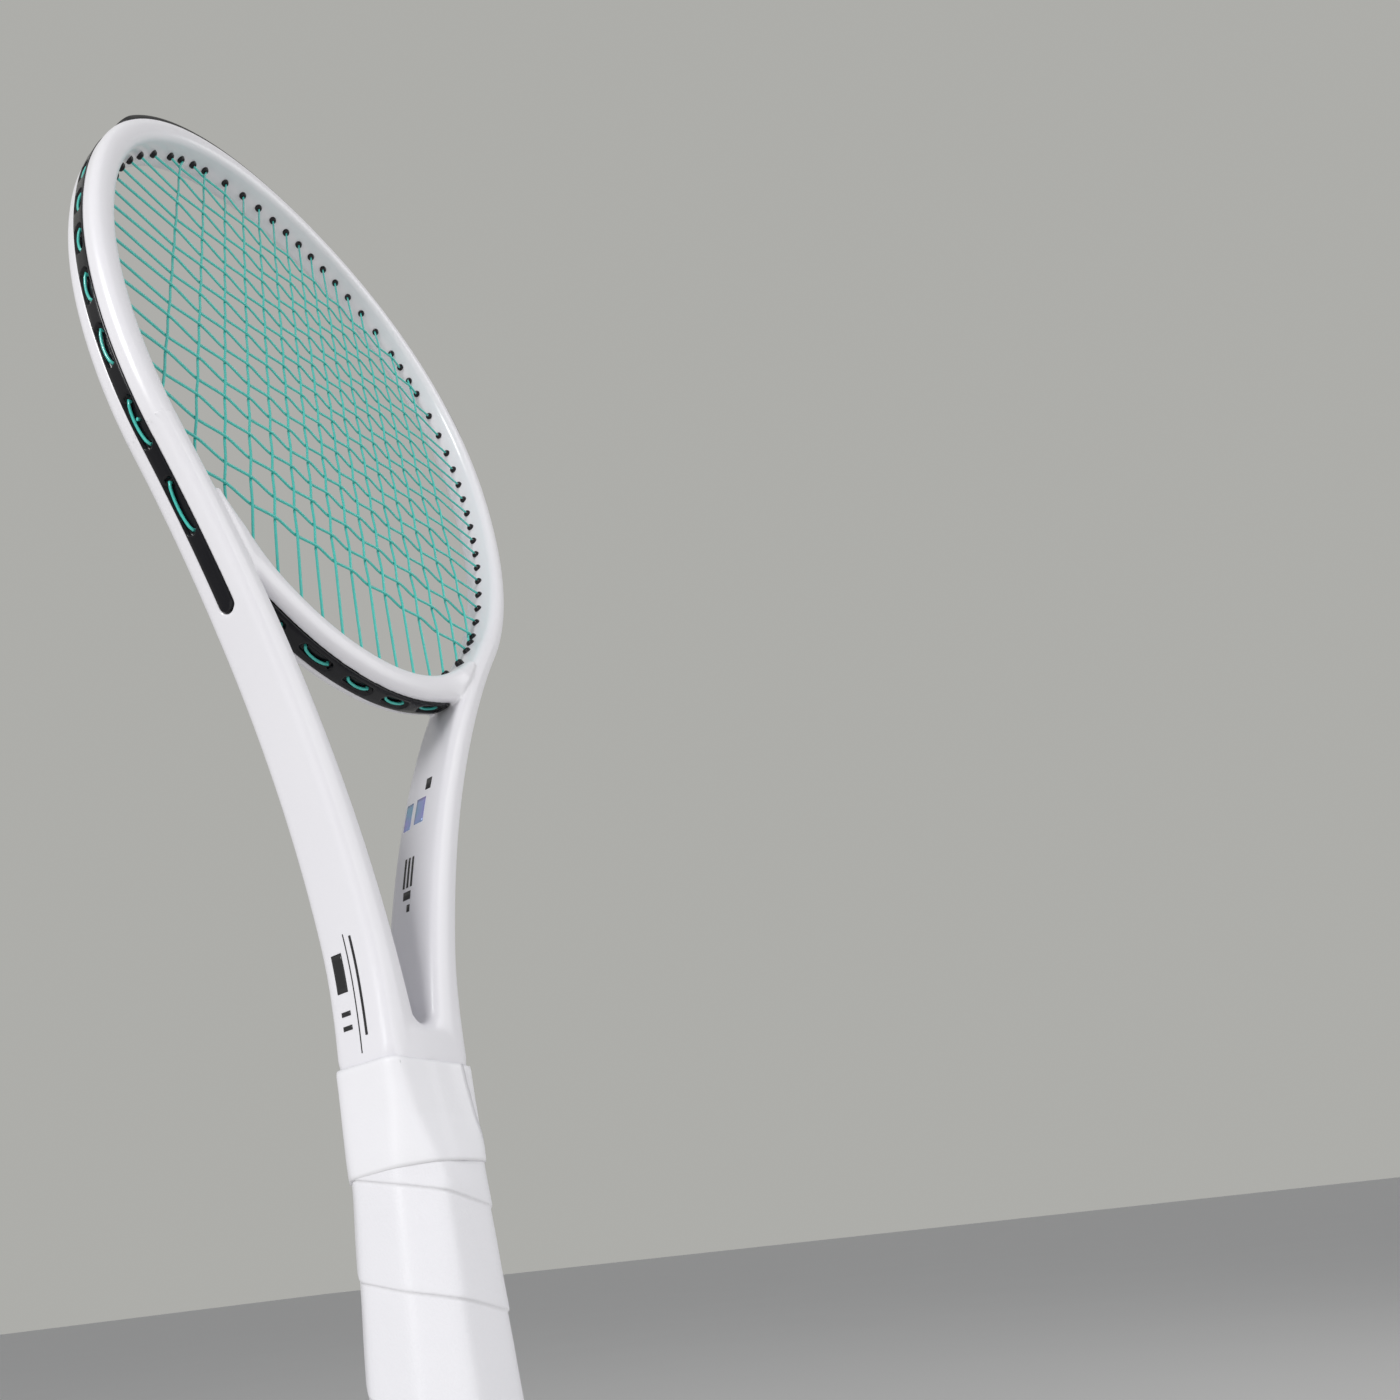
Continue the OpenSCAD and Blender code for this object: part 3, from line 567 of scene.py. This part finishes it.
strip_from = along(rim_path, shaft_point(shaft_height(GROOVE_END + 0.4)))[3]
strip_to = rim_path[2][-1] - 0.5
guard_parts = []
for side in (1.0, -1.0):
    spans = loop_spans(rim_pairs(side), rim_path, side)
    rings = strip(rim_path, strip_from, strip_to, GROOVE_HALF - 0.02, spans)
    guard_parts.append(skin("side_strip", rings if side > 0 else flipped(rings)))


def hoop_face(v):
    """How far out the hoop's outer surface lies, v millimetres from its middle line."""
    flat, c = BEAM / 2 - EDGE_R, EDGE_R
    if abs(v) <= flat:
        return HOOP_W / 2 - CROWN * (v / flat) ** 2
    return HOOP_W / 2 - CROWN - c + math.sqrt(max(0.0, c ** 2 - (abs(v) - flat) ** 2))


def bumper_ring(c, n, wide, proud):
    """The bumper's section: it wraps the hoop's outer side, with a channel for the strings."""
    f, i = HOOP_W / 2, RECESS_HALF
    skin_out = [(f + proud * (1 - 0.45 * (v / wide) ** 4), v) for v in np.linspace(i + 0.5, wide, 10)]
    floor = f - GROOVE_DEPTH + STRIP_T
    half = [(floor, 0.0), (floor, i), (skin_out[0][0] - 0.2, i + 0.1)]
    half += skin_out + [(f + proud * 0.35, wide + 0.12), (hoop_face(wide) - 0.2, wide - 0.05),
                        (f - 1.2, 6.0), (f - GROOVE_DEPTH, i + 0.6), (f - GROOVE_DEPTH, 0.0)]
    ring = half + [(u, -v) for u, v in reversed(half[1:-1])]
    return [(c[0] + u * n[0], v, c[1] + u * n[1]) for u, v in ring]


BUMPER_SPREAD, BUMPER_RUNOUT = 66.0, 6.0  # degrees from the tip, and the last part of them that tapers
bumper_run = []  # its half width grows from 3.1 to 9.0 over the taper, and its height from 0.3 to 1.1
for t in np.arange(90.0 - BUMPER_SPREAD, 90.1 + BUMPER_SPREAD, 0.75):
    fade = min(1.0, (BUMPER_SPREAD - abs(t - 90.0)) / BUMPER_RUNOUT + 0.01)
    c, n, w = hoop_station(t)
    bumper_run.append(bumper_ring(c, n, 3.1 + 5.9 * math.sqrt(1 - (1 - fade) ** 2), 0.3 + 0.8 * fade))
guard = join_parts("bumper_and_side_strips", guard_parts + [skin("bumper", bumper_run)])
guard.data.materials.append(nylon)
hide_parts("bumper_guard")
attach(guard, "racket")

foot_row = [feet[-i] for i in range(BRIDGE_MAINS, 0, -1)] + [feet[i] for i in range(1, BRIDGE_MAINS + 1)]
foot_pairs = [(foot_row[k], foot_row[k + 1]) for k in range(0, len(foot_row) - 1, 2)]
THROAT_STRIP_END = 24.6  # degrees, just short of the groove's end
bridge_runs = [along(bridge_path, oval(a - 90, bridge_width(a) / 2))[3]
               for a in (-THROAT_STRIP_END, THROAT_STRIP_END)]
foot_spans = loop_spans(foot_pairs, bridge_path, 1.0)
throat_strip = skin("throat_strip", strip(bridge_path, *bridge_runs, BRIDGE_GROOVE - 0.03, foot_spans))
throat_strip.data.materials.append(nylon)
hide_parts("throat_grommets")
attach(throat_strip, "racket")


def new_tree(name, sizes):
    """An empty geometry node tree with named size inputs: the tree, its two ends and its sockets."""
    t = bpy.data.node_groups.new(name, "GeometryNodeTree")
    t.interface.new_socket(name="Geometry", in_out="INPUT", socket_type="NodeSocketGeometry")
    keys = {}
    for label, value in sizes.items():
        kind = "NodeSocketInt" if isinstance(value, int) else "NodeSocketFloat"
        s = t.interface.new_socket(name=label, in_out="INPUT", socket_type=kind)
        s.default_value = value
        keys[label] = s.identifier
    t.interface.new_socket(name="Geometry", in_out="OUTPUT", socket_type="NodeSocketGeometry")
    return t, t.nodes.new("NodeGroupInput"), t.nodes.new("NodeGroupOutput"), keys


def finish_tree(t, geometry, out, mat):
    """Ends a tree in real geometry, smooth shading and its material."""
    real = t.nodes.new("GeometryNodeRealizeInstances")
    smooth = t.nodes.new("GeometryNodeSetShadeSmooth")
    colour = t.nodes.new("GeometryNodeSetMaterial")
    colour.inputs["Material"].default_value = mat
    wire(t, (geometry, real.inputs["Geometry"]), (real.outputs["Geometry"], smooth.inputs["Geometry"]),
         (smooth.outputs["Geometry"], colour.inputs["Geometry"]),
         (colour.outputs["Geometry"], out.inputs["Geometry"]))


def run_tree(obj, t, keys, sizes):
    """Runs a tree on an object with these sizes and keeps the plain mesh."""
    mod = obj.modifiers.new(t.name, "NODES")
    mod.node_group = t
    for label, value in sizes.items():
        mod[keys[label]] = value
    settle(obj)


BARREL = {"Radius": 0.0022, "Lip": 0.002, "Length": 0.003}
barrel_tree, t_in, t_out, barrel_keys = new_tree("grommet_barrels", BARREL)
named = barrel_tree.nodes.new("GeometryNodeInputNamedAttribute")
named.data_type = "FLOAT_VECTOR"
named.inputs["Name"].default_value = "barrel_axis"
align = barrel_tree.nodes.new("FunctionNodeAlignEulerToVector")
align.axis = "Z"
wall = barrel_tree.nodes.new("GeometryNodeMeshCone")
wall.inputs["Vertices"].default_value = 24
wall.inputs["Side Segments"].default_value = 3
lip = barrel_tree.nodes.new("GeometryNodeMeshUVSphere")
lip.inputs["Segments"].default_value = 24
lip.inputs["Rings"].default_value = 12
dome = barrel_tree.nodes.new("GeometryNodeTransform")
dome.inputs["Scale"].default_value = (1, 1, 0.7)
barrel = barrel_tree.nodes.new("GeometryNodeJoinGeometry")
inst = barrel_tree.nodes.new("GeometryNodeInstanceOnPoints")
wire(barrel_tree, (t_in.outputs["Geometry"], inst.inputs["Points"]),
     (named.outputs["Attribute"], align.inputs["Vector"]),
     (align.outputs["Rotation"], inst.inputs["Rotation"]),
     (t_in.outputs["Radius"], wall.inputs["Radius Top"]), (t_in.outputs["Lip"], wall.inputs["Radius Bottom"]),
     (t_in.outputs["Length"], wall.inputs["Depth"]), (t_in.outputs["Lip"], lip.inputs["Radius"]),
     (lip.outputs["Mesh"], dome.inputs["Geometry"]), (wall.outputs["Mesh"], barrel.inputs["Geometry"]),
     (dome.outputs["Geometry"], barrel.inputs["Geometry"]),
     (barrel.outputs["Geometry"], inst.inputs["Instance"]))
finish_tree(barrel_tree, inst.outputs["Instances"], t_out, nylon)


def barrels(name, holes, node):
    """The barrels that show inside the head, one at each hole, pointing back into the strip."""
    mesh = bpy.data.meshes.new(name)
    feet_at = [h[0] - h[1] * BARREL_OUT for h in holes]
    mesh.from_pydata([(p[0] / 1000, 0, p[1] / 1000) for p in feet_at], [], [])
    axis = mesh.attributes.new("barrel_axis", "FLOAT_VECTOR", "POINT")
    axis.data.foreach_set("vector", [c for h in holes for c in (h[1][0], 0.0, h[1][1])])
    obj = placed(name, mesh)
    run_tree(obj, barrel_tree, barrel_keys, BARREL)
    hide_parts(node)
    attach(obj, "racket")


barrels("hoop_barrels", hoop_holes, "bumper_guard")
barrels("throat_barrels", throat_holes, "throat_grommets")


# ---------------------------------------------------------------- strings
# Two lengths of teal polyester monofilament, woven over and under. One runs up and down as the
# sixteen mains, the other to and fro as the nineteen crosses, both pulled round the strips outside.
STRING_R, STRING_LIFT, LOOP_BOW = 0.6, 0.92, 1.53
MAIN_SWAY, CROSS_SWAY = 0.34, 0.76  # the mains are pulled harder, so the crosses bend round them

cord_mat, tree, shader = material("teal_polyester", (0.06, 0.56, 0.48), 0.25)
vary(tree, shader, (0.05, 0.50, 0.45), (0.09, 0.62, 0.52), 45.0, 2500.0, 0.8, (0.18, 0.3), 0.05, 0.0001)
shader.inputs["Subsurface Weight"].default_value = 0.15
shader.inputs["Subsurface Radius"].default_value = (0.0004, 0.001, 0.001)
shader.inputs["Coat Weight"].default_value = 0.3


def at(p, y=0.0):
    return np.array([p[0], y, p[1]])


def bend(points):
    """Fills a woven run with points so that the string swings smoothly from side to side."""
    out = [points[0]]
    for a, b in zip(points[:-1], points[1:]):
        steps = max(1, int(np.linalg.norm(b - a) / 2.2))
        for k in range(1, steps + 1):
            f = k / steps
            p = a + (b - a) * f
            p[1] = a[1] + (b[1] - a[1]) * (0.6 * f + 0.4 * (0.5 - 0.5 * math.cos(math.pi * f)))
            out.append(p)
    return out


def column_hole(c, up):
    """The hole at the top or the foot of the main string in column c, counted from the left."""
    i = MAINS - c if c < MAINS else c - MAINS + 1
    side = -1.0 if c < MAINS else 1.0
    return (tops if up else feet)[side * i]


def crossing(c, j):
    """Whether the main in column c reaches as far as cross string j."""
    return column_hole(c, False)[0][1] + 4 < cross_z(j) < column_hole(c, True)[0][1] - 4


def through(h):
    """From the strip's outside, round the lip and through the barrel to the string bed."""
    out = h[2] + h[1] * STRING_LIFT
    return [at(out), at(out - h[1] * 0.35), at(h[2] - h[1] * 0.6), at(h[0] - h[1] * (BARREL_OUT + 1.3))]


def loop(a, b, path, bow):
    """Along the recess of a strip from one hole to the next, lying to one side."""
    out = []
    for f in (0.1, 0.22, 0.36, 0.5, 0.64, 0.78, 0.9):
        p = strip_top(path, a[2] + (b[2] - a[2]) * f, STRING_LIFT)[0]
        out.append(at(p, bow * math.sin(math.pi * f) ** 0.6))
    return out


def sway(c, j, reach):
    return reach if (c + j) % 2 == 0 else -reach


main_points = []
for c in range(2 * MAINS):
    foot, top = column_hole(c, False), column_hole(c, True)
    bed = [through(foot)[-1]] + [np.array([top[0][0], sway(c, j, MAIN_SWAY), cross_z(j)])
                                 for j in range(CROSSES - 1, -1, -1) if crossing(c, j)] + [through(top)[-1]]
    run = through(foot)[:-1] + bend(bed) + through(top)[:-1][::-1]
    main_points += run if c % 2 == 0 else run[::-1]
    if c < 2 * MAINS - 1:
        up = c % 2 == 0
        a, b = column_hole(c, up), column_hole(c + 1, up)
        low = not up and abs(c + 1 - MAINS) < BRIDGE_MAINS
        main_points += loop(a, b, bridge_path if low else rim_path, -LOOP_BOW if up else LOOP_BOW)

cross_points = []
for j in range(CROSSES):
    left, right = ends[(j, -1.0)], ends[(j, 1.0)]
    bed = [through(left)[-1]] + [np.array([column_hole(c, True)[0][0], -sway(c, j, CROSS_SWAY), cross_z(j)])
                                 for c in range(2 * MAINS) if crossing(c, j)] + [through(right)[-1]]
    run = through(left)[:-1] + bend(bed) + through(right)[:-1][::-1]
    cross_points += run if j % 2 == 0 else run[::-1]
    if j < CROSSES - 1:
        s = 1.0 if j % 2 == 0 else -1.0
        cross_points += loop(ends[(j, s)], ends[(j + 1, s)], rim_path, LOOP_BOW)

STRAND = {"Radius": STRING_R / 1000, "Sides": 10}
string_tree, t_in, t_out, string_keys = new_tree("drawn_string", STRAND)
as_curve = string_tree.nodes.new("GeometryNodeMeshToCurve")
profile = string_tree.nodes.new("GeometryNodeCurvePrimitiveCircle")
tube = string_tree.nodes.new("GeometryNodeCurveToMesh")
tube.inputs["Fill Caps"].default_value = True
wire(string_tree, (t_in.outputs["Geometry"], as_curve.inputs["Mesh"]),
     (t_in.outputs["Radius"], profile.inputs["Radius"]),
     (t_in.outputs["Sides"], profile.inputs["Resolution"]),
     (as_curve.outputs["Curve"], tube.inputs["Curve"]),
     (profile.outputs["Curve"], tube.inputs["Profile Curve"]))
finish_tree(string_tree, tube.outputs["Mesh"], t_out, cord_mat)


def string(name, points, node):
    """One string as a round strand along its points."""
    kept = [points[0]]
    for p in points[1:]:
        if np.linalg.norm(p - kept[-1]) > 0.15:
            kept.append(p)
    mesh = bpy.data.meshes.new(name)
    mesh.from_pydata([tuple(p / 1000) for p in kept], [(k, k + 1) for k in range(len(kept) - 1)], [])
    obj = placed(name, mesh)
    run_tree(obj, string_tree, string_keys, STRAND)
    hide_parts(node)
    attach(obj, "racket")


string("main_strings", main_points, "main_string")
string("cross_strings", cross_points, "cross_string")


# ---------------------------------------------------------------- handle core, butt cap and trap door
# Foam pallets are moulded round the frame's stem, and a plastic cap is stapled over their end.
# Its small door clips into the cap and closes the hollow where balance weights go.
foam, tree, shader = material("pallet_foam", (0.05, 0.05, 0.055), 0.7)
vary(tree, shader, (0.05, 0.05, 0.055), (0.08, 0.08, 0.085), 60.0, 1200.0, 0.8, (0.6, 0.8), 0.5, 0.0004)
moulded, tree, shader = material("cap_plastic", (0.72, 0.72, 0.74), 0.35)
vary(tree, shader, (0.74, 0.74, 0.76), (0.66, 0.66, 0.69), 40.0, 2200.0, 0.6, (0.3, 0.45), 0.2, 0.0002)
clip_plastic, tree, shader = material("door_plastic", (0.6, 0.6, 0.63), 0.3)
vary(tree, shader, (0.62, 0.62, 0.65), (0.54, 0.54, 0.57), 50.0, 2200.0, 0.6, (0.26, 0.4), 0.25, 0.0002)
for name, mat in (("pallet_front", foam), ("pallet_back", foam), ("butt_cap", moulded),
                  ("trap_door", clip_plastic)):
    o = frame["nodes"][name]
    o.data.materials.clear()
    o.data.materials.append(mat)


# ---------------------------------------------------------------- base grip and overgrip
# A leather strip is wound up the handle edge to edge, and over it a long tape of white film with
# each turn lapping the one below. Both are pulled tight, so the octagon shows with soft corners.
FOOT, BASE_TOP, WRAP_TOP, PITCH, TAPE_T, LAP_T = 3.4, 192.0, 204.0, 20.6, 0.6, 0.5
LEATHER_T, CAP_FLARE = 1.7, 2.3
CUT_GROWTH = 0.586  # how much an octagon's corner cut grows with each millimetre laid over it
# height, half width, half depth and corner cut of the handle: the cap's skirt, then the pallets
CORE = [(3.4, 14.5 + CAP_FLARE, 12.6 + CAP_FLARE, 6.6 + CAP_FLARE * CUT_GROWTH), (14.0, 15.6, 13.7, 7.24),
        (26.0, 15.4, 13.5, 7.13), (29.0, 14.5, 12.6, 6.6), (178.0, 14.5, 12.6, 6.6)]
GRIP = [(z, a + LEATHER_T, b + LEATHER_T, c + LEATHER_T * CUT_GROWTH) for z, a, b, c in CORE]
GRIP += [(192.0, 16.5, 11.7, 3.4), (204.0, 17.6, 10.7, 2.0)]  # above the pallets it runs on to the neck


def core_at(z):
    """Half width, half depth and corner cut under the overgrip at a height."""
    zs = [g[0] for g in GRIP]
    return [float(np.interp(z, zs, [g[k] for g in GRIP])) for k in (1, 2, 3)]


def wrap_reach(z, w, power=30.0):
    """Distance from the axis to the soft octagon at height z, in direction w degrees."""
    a, b, c = core_at(z)
    x, y = abs(math.cos(math.radians(w))), abs(math.sin(math.radians(w)))
    chamfer = (a + b - c) / math.sqrt(2)
    total = (x / a) ** power + (y / b) ** power + ((x + y) / math.sqrt(2) / chamfer) ** power
    return total ** (-1 / power)


white_film, tree, shader = material("white_overgrip", (0.84, 0.835, 0.86), 0.4)
vary(tree, shader, (0.84, 0.835, 0.865), (0.77, 0.76, 0.80), 22.0, 1800.0, 0.6, (0.32, 0.5), 0.25, 0.00025)
shader.inputs["Sheen Weight"].default_value = 0.08

# places across the tape, how high its lap stands at each, and degrees from one row to the next
ACROSS = [0.0, 0.006, 0.014, 0.03, 0.07, 0.14, 0.25, 0.4, 0.55, 0.7, 0.85, 0.97, 1.0]
RISE_OVER = [0.0, 0.55, 0.92, 1.0, 0.96, 0.88, 0.78, 0.62, 0.45, 0.3, 0.15, 0.03, 0.0]
STEP = 4.0


def overgrip_at(z):
    """The tape's thickness and the lap's extra at a height: it is pulled thin towards its end."""
    thin = min(1.0, max(0.0, (z - 184.0) / 16.0))
    return TAPE_T * (1 - 0.4 * thin), LAP_T * (1 - 0.9 * thin)


def wound(name, foot, top, surface, mat, node):
    """A tape wound up the handle; surface gives its outer radius at a height, angle and share across."""
    rows = []
    for k in range(int(360 * ((top - foot) / PITCH + 1.0) / STEP) + 1):
        w = -k * STEP
        z_edge = foot + PITCH * (k * STEP / 360 - 1)
        row = []
        for s, rise in zip(ACROSS, RISE_OVER):
            z = min(max(z_edge + PITCH * s, foot), top)
            r = surface(z, w, s, rise)
            row.append((r * math.cos(math.radians(w)) / 1000, r * math.sin(math.radians(w)) / 1000, z / 1000))
        rows.append(row)
    n = len(ACROSS)
    faces = [(i * n + k, (i + 1) * n + k, (i + 1) * n + k + 1, i * n + k + 1)
             for i in range(len(rows) - 1) for k in range(n - 1)]
    mesh = bpy.data.meshes.new(name)
    mesh.from_pydata([p for row in rows for p in row], [], faces)
    bm = bmesh.new()
    bm.from_mesh(mesh)
    bmesh.ops.remove_doubles(bm, verts=bm.verts, dist=2e-6)
    bmesh.ops.dissolve_degenerate(bm, edges=bm.edges, dist=1e-7)
    for level in (foot, top):
        # turn both ends in, towards the handle
        rim = [e for e in bm.edges
               if e.is_boundary and all(abs(v.co.z * 1000 - level) < 0.05 for v in e.verts)]
        new = bmesh.ops.extrude_edge_only(bm, edges=rim)
        for v in [g for g in new["geom"] if isinstance(g, bmesh.types.BMVert)]:
            v.co.x *= 0.93
            v.co.y *= 0.93
    bmesh.ops.recalc_face_normals(bm, faces=bm.faces)
    bm.to_mesh(mesh)
    bm.free()
    mesh.polygons.foreach_set("use_smooth", [True] * len(mesh.polygons))
    wrap = placed(name, mesh)
    mesh.materials.append(mat)
    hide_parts(node)
    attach(wrap, "racket")


def leather_surface(z, w, s, rise):
    # the strip's skived edges meet in a shallow seam
    return wrap_reach(z, w) - 0.02 - 0.35 * max(0.0, 1 - min(s, 1 - s) / 0.05)


def film_surface(z, w, s, rise):
    thick, extra = overgrip_at(z)
    wave = 0.06 * math.sin(math.radians(3 * w) + s * 5) * math.sin(math.pi * s)
    return wrap_reach(z, w) + thick + extra * rise + wave


leather, tree, shader = material("base_grip_leather", (0.7, 0.7, 0.7), 0.55)
vary(tree, shader, (0.72, 0.72, 0.71), (0.62, 0.62, 0.62), 50.0, 1500.0, 0.7, (0.45, 0.6), 0.6, 0.0004)
wound("base_grip_wrap", FOOT + 0.2, BASE_TOP, leather_surface, leather, "base_grip")
wound("overgrip_wrap", FOOT, WRAP_TOP, film_surface, white_film, "overgrip")


# ---------------------------------------------------------------- finishing tape
# A short length of white vinyl tape that holds the overgrip's end at the neck. Its loose end is
# pressed down over itself on one edge of the handle and has lifted a little at the top.
film, tree, shader = material("white_vinyl", (0.85, 0.845, 0.87), 0.5)
vary(tree, shader, (0.85, 0.845, 0.87), (0.79, 0.78, 0.82), 30.0, 1500.0, 0.5, (0.42, 0.58), 0.12, 0.0002)
TAPE_END, TAPE_LOW, TAPE_HIGH = -52.0, 180.4, 205.0
tape_rings = []
for k in range(101):
    # it climbs over its own start, and its last six steps lift off at the top
    w = TAPE_END - 30 + k * 3.95
    over = max(0.0, (k - 84) / 16)
    lift = 0.9 * max(0.0, (k - 94) / 6) ** 2
    low = TAPE_LOW + 0.9 * math.sin(math.radians(w - 200))
    row_out, row_in = [], []
    for s in np.linspace(0, 1, 25):
        z = low + (TAPE_HIGH - low) * s
        soft = 0.1 * max(0.0, 1 - min(s, 1 - s) / 0.02)
        thick, extra = overgrip_at(z)
        r = wrap_reach(min(z, WRAP_TOP), w) + thick + extra + 0.1 + 0.15 * min(1.0, over * 4) + lift * s
        row_out.append((r - soft, w, z))
        row_in.append((r - 0.14 if over > 0 else r - 0.6, w, z))
    ring = row_out + row_in[::-1]
    tape_rings.append([(r * math.cos(math.radians(a)), r * math.sin(math.radians(a)), z) for r, a, z in ring])
tape = skin("finishing_tape_wrap", tape_rings)
tape.data.materials.append(film)
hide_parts("finishing_tape")
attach(tape, "racket")


# ---------------------------------------------------------------- printed marks
# Plain printed bars under the lacquer, where such rackets carry their markings. They have no
# lettering: a thin rule with bars on the outside of one shaft, foil and dark bars inside the other.
PRINT_T = 0.1

ink, tree, shader = material("black_print", (0.015, 0.015, 0.017), 0.3)
vary(tree, shader, (0.015, 0.015, 0.017), (0.03, 0.03, 0.032), 80.0, 1500.0, 0.4, (0.22, 0.34), 0.05, 0.0001)
foil, tree, shader = material("iridescent_foil", (0.55, 0.6, 0.7), 0.2, 0.6)
sweep = tree.nodes.new("ShaderNodeTexCoord")
waves = tree.nodes.new("ShaderNodeTexNoise")
waves.inputs["Scale"].default_value = 40.0
bands = tree.nodes.new("ShaderNodeValToRGB")
bands.color_ramp.elements[0].color = (0.25, 0.55, 0.62, 1)
bands.color_ramp.elements[1].color = (0.75, 0.5, 0.75, 1)
middle = bands.color_ramp.elements.new(0.5)
middle.color = (0.45, 0.42, 0.85, 1)
for e, stop in zip(bands.color_ramp.elements, (0.35, 0.5, 0.65)):
    e.position = stop
wire(tree, (sweep.outputs["Object"], waves.inputs["Vector"]), (waves.outputs["Fac"], bands.inputs["Fac"]),
     (bands.outputs["Color"], shader.inputs["Base Color"]))


def print_patch(name, side, face, z0, z1, v0, v1):
    """A thin printed patch that lies on one shaft's outer (1) or inner (-1) face."""
    rings = []
    for z in np.linspace(z0, z1, max(3, int(abs(z1 - z0) / 1.5))):
        c, n, w = shaft_station(shaft_height(z))
        flat = BEAM / 2 - ROOT_CORNER
        row = [(face * (w / 2 - CROWN * (v / flat) ** 2), v) for v in np.linspace(v0, v1, 7)]
        ring = [(u + face * PRINT_T, v) for u, v in row] + [(u - face * 0.05, v) for u, v in reversed(row)]
        rings.append([(side * (c[0] + u * n[0]), v, c[1] + u * n[1]) for u, v in ring])
    return skin(name, rings)


# side of the racket, face of the shaft, lower and upper height, and the two edges across the shaft
INK_BARS = [(-1, 1, 209.0, 240.0, -0.9, -0.55), (-1, 1, 225.0, 235.5, 1.4, 5.4),
            (-1, 1, 219.0, 220.2, 1.6, 5.0), (-1, 1, 215.4, 216.6, 1.6, 5.0),
            (-1, 1, 213.0, 239.0, -3.4, -2.6), (1, -1, 260.5, 272.0, 0.2, 1.0),
            (1, -1, 260.5, 272.0, 1.8, 2.6), (1, -1, 260.5, 272.0, 3.4, 4.2),
            (1, -1, 256.0, 259.0, 0.6, 3.6), (1, -1, 251.5, 254.0, 0.6, 1.8),
            (1, -1, 301.0, 306.5, -3.0, -0.6)]
FOIL_BARS = [(1, -1, 285.0, 297.0, 4.2, 7.2), (1, -1, 286.0, 297.5, -1.6, 2.4)]
for name, bars, mat in (("printed_marks", INK_BARS, ink), ("foil_marks", FOIL_BARS, foil)):
    joined = join_parts(name, [print_patch(name, *bar) for bar in bars])
    joined.data.materials.append(mat)
    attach(joined, "racket")


# ---------------------------------------------------------------- studio
# A pale floor well below the racket, a soft white key lamp at the left, and a large lamp in front
# that fills the shadows. The world lights the racket a little bluish but is seen as an even grey.
floor_mat, tree, shader = material("pale_floor", (0.9, 0.89, 0.86), 0.6)
vary(tree, shader, (0.91, 0.9, 0.87), (0.86, 0.85, 0.82), 3.0, 200.0, 0.3, (0.55, 0.65), 0.02, 0.0005)
FLOOR_Z, FLOOR_HALF = -0.12, 30
mesh = bpy.data.meshes.new("floor")
corners = [(x * FLOOR_HALF, y * FLOOR_HALF, FLOOR_Z) for x, y in ((-1, -1), (1, -1), (1, 1), (-1, 1))]
mesh.from_pydata(corners, [], [(0, 1, 2, 3)])
mesh.materials.append(floor_mat)
floor = placed("floor", mesh)

world = bpy.data.worlds.new("studio")
bpy.context.scene.world = world
world.use_nodes = True
wt = world.node_tree
back = wt.nodes["Background"]
back.inputs["Color"].default_value = (0.92, 0.94, 1.0, 1)
back.inputs["Strength"].default_value = 0.28
seen = wt.nodes.new("ShaderNodeBackground")
seen.inputs["Color"].default_value = (0.42, 0.42, 0.40, 1)
seen.inputs["Strength"].default_value = 1.0
path = wt.nodes.new("ShaderNodeLightPath")
mix = wt.nodes.new("ShaderNodeMixShader")
either, any_of = (wt.nodes.new("ShaderNodeMath") for _ in range(2))
either.operation = any_of.operation = "MAXIMUM"
wire(wt, (path.outputs["Is Camera Ray"], either.inputs[0]),
     (path.outputs["Is Glossy Ray"], either.inputs[1]),
     (either.outputs[0], any_of.inputs[0]), (path.outputs["Is Transmission Ray"], any_of.inputs[1]),
     (any_of.outputs[0], mix.inputs["Fac"]), (back.outputs["Background"], mix.inputs[1]),
     (seen.outputs["Background"], mix.inputs[2]),
     (mix.outputs["Shader"], wt.nodes["World Output"].inputs["Surface"]))

AIM = Vector((0, 0, 0.4))
for name, spot, size, power in (("key", (-2.1, -0.27, 1.2), 0.8, 36.0),
                                ("front", (0.9, -2.2, 1.2), 2.4, 30.0)):
    lamp = bpy.data.lights.new(name, "AREA")
    lamp.size = size
    lamp.energy = power
    obj = placed(name, lamp)
    obj.location = spot
    obj.rotation_euler = (AIM - Vector(spot)).to_track_quat("-Z", "Y").to_euler()
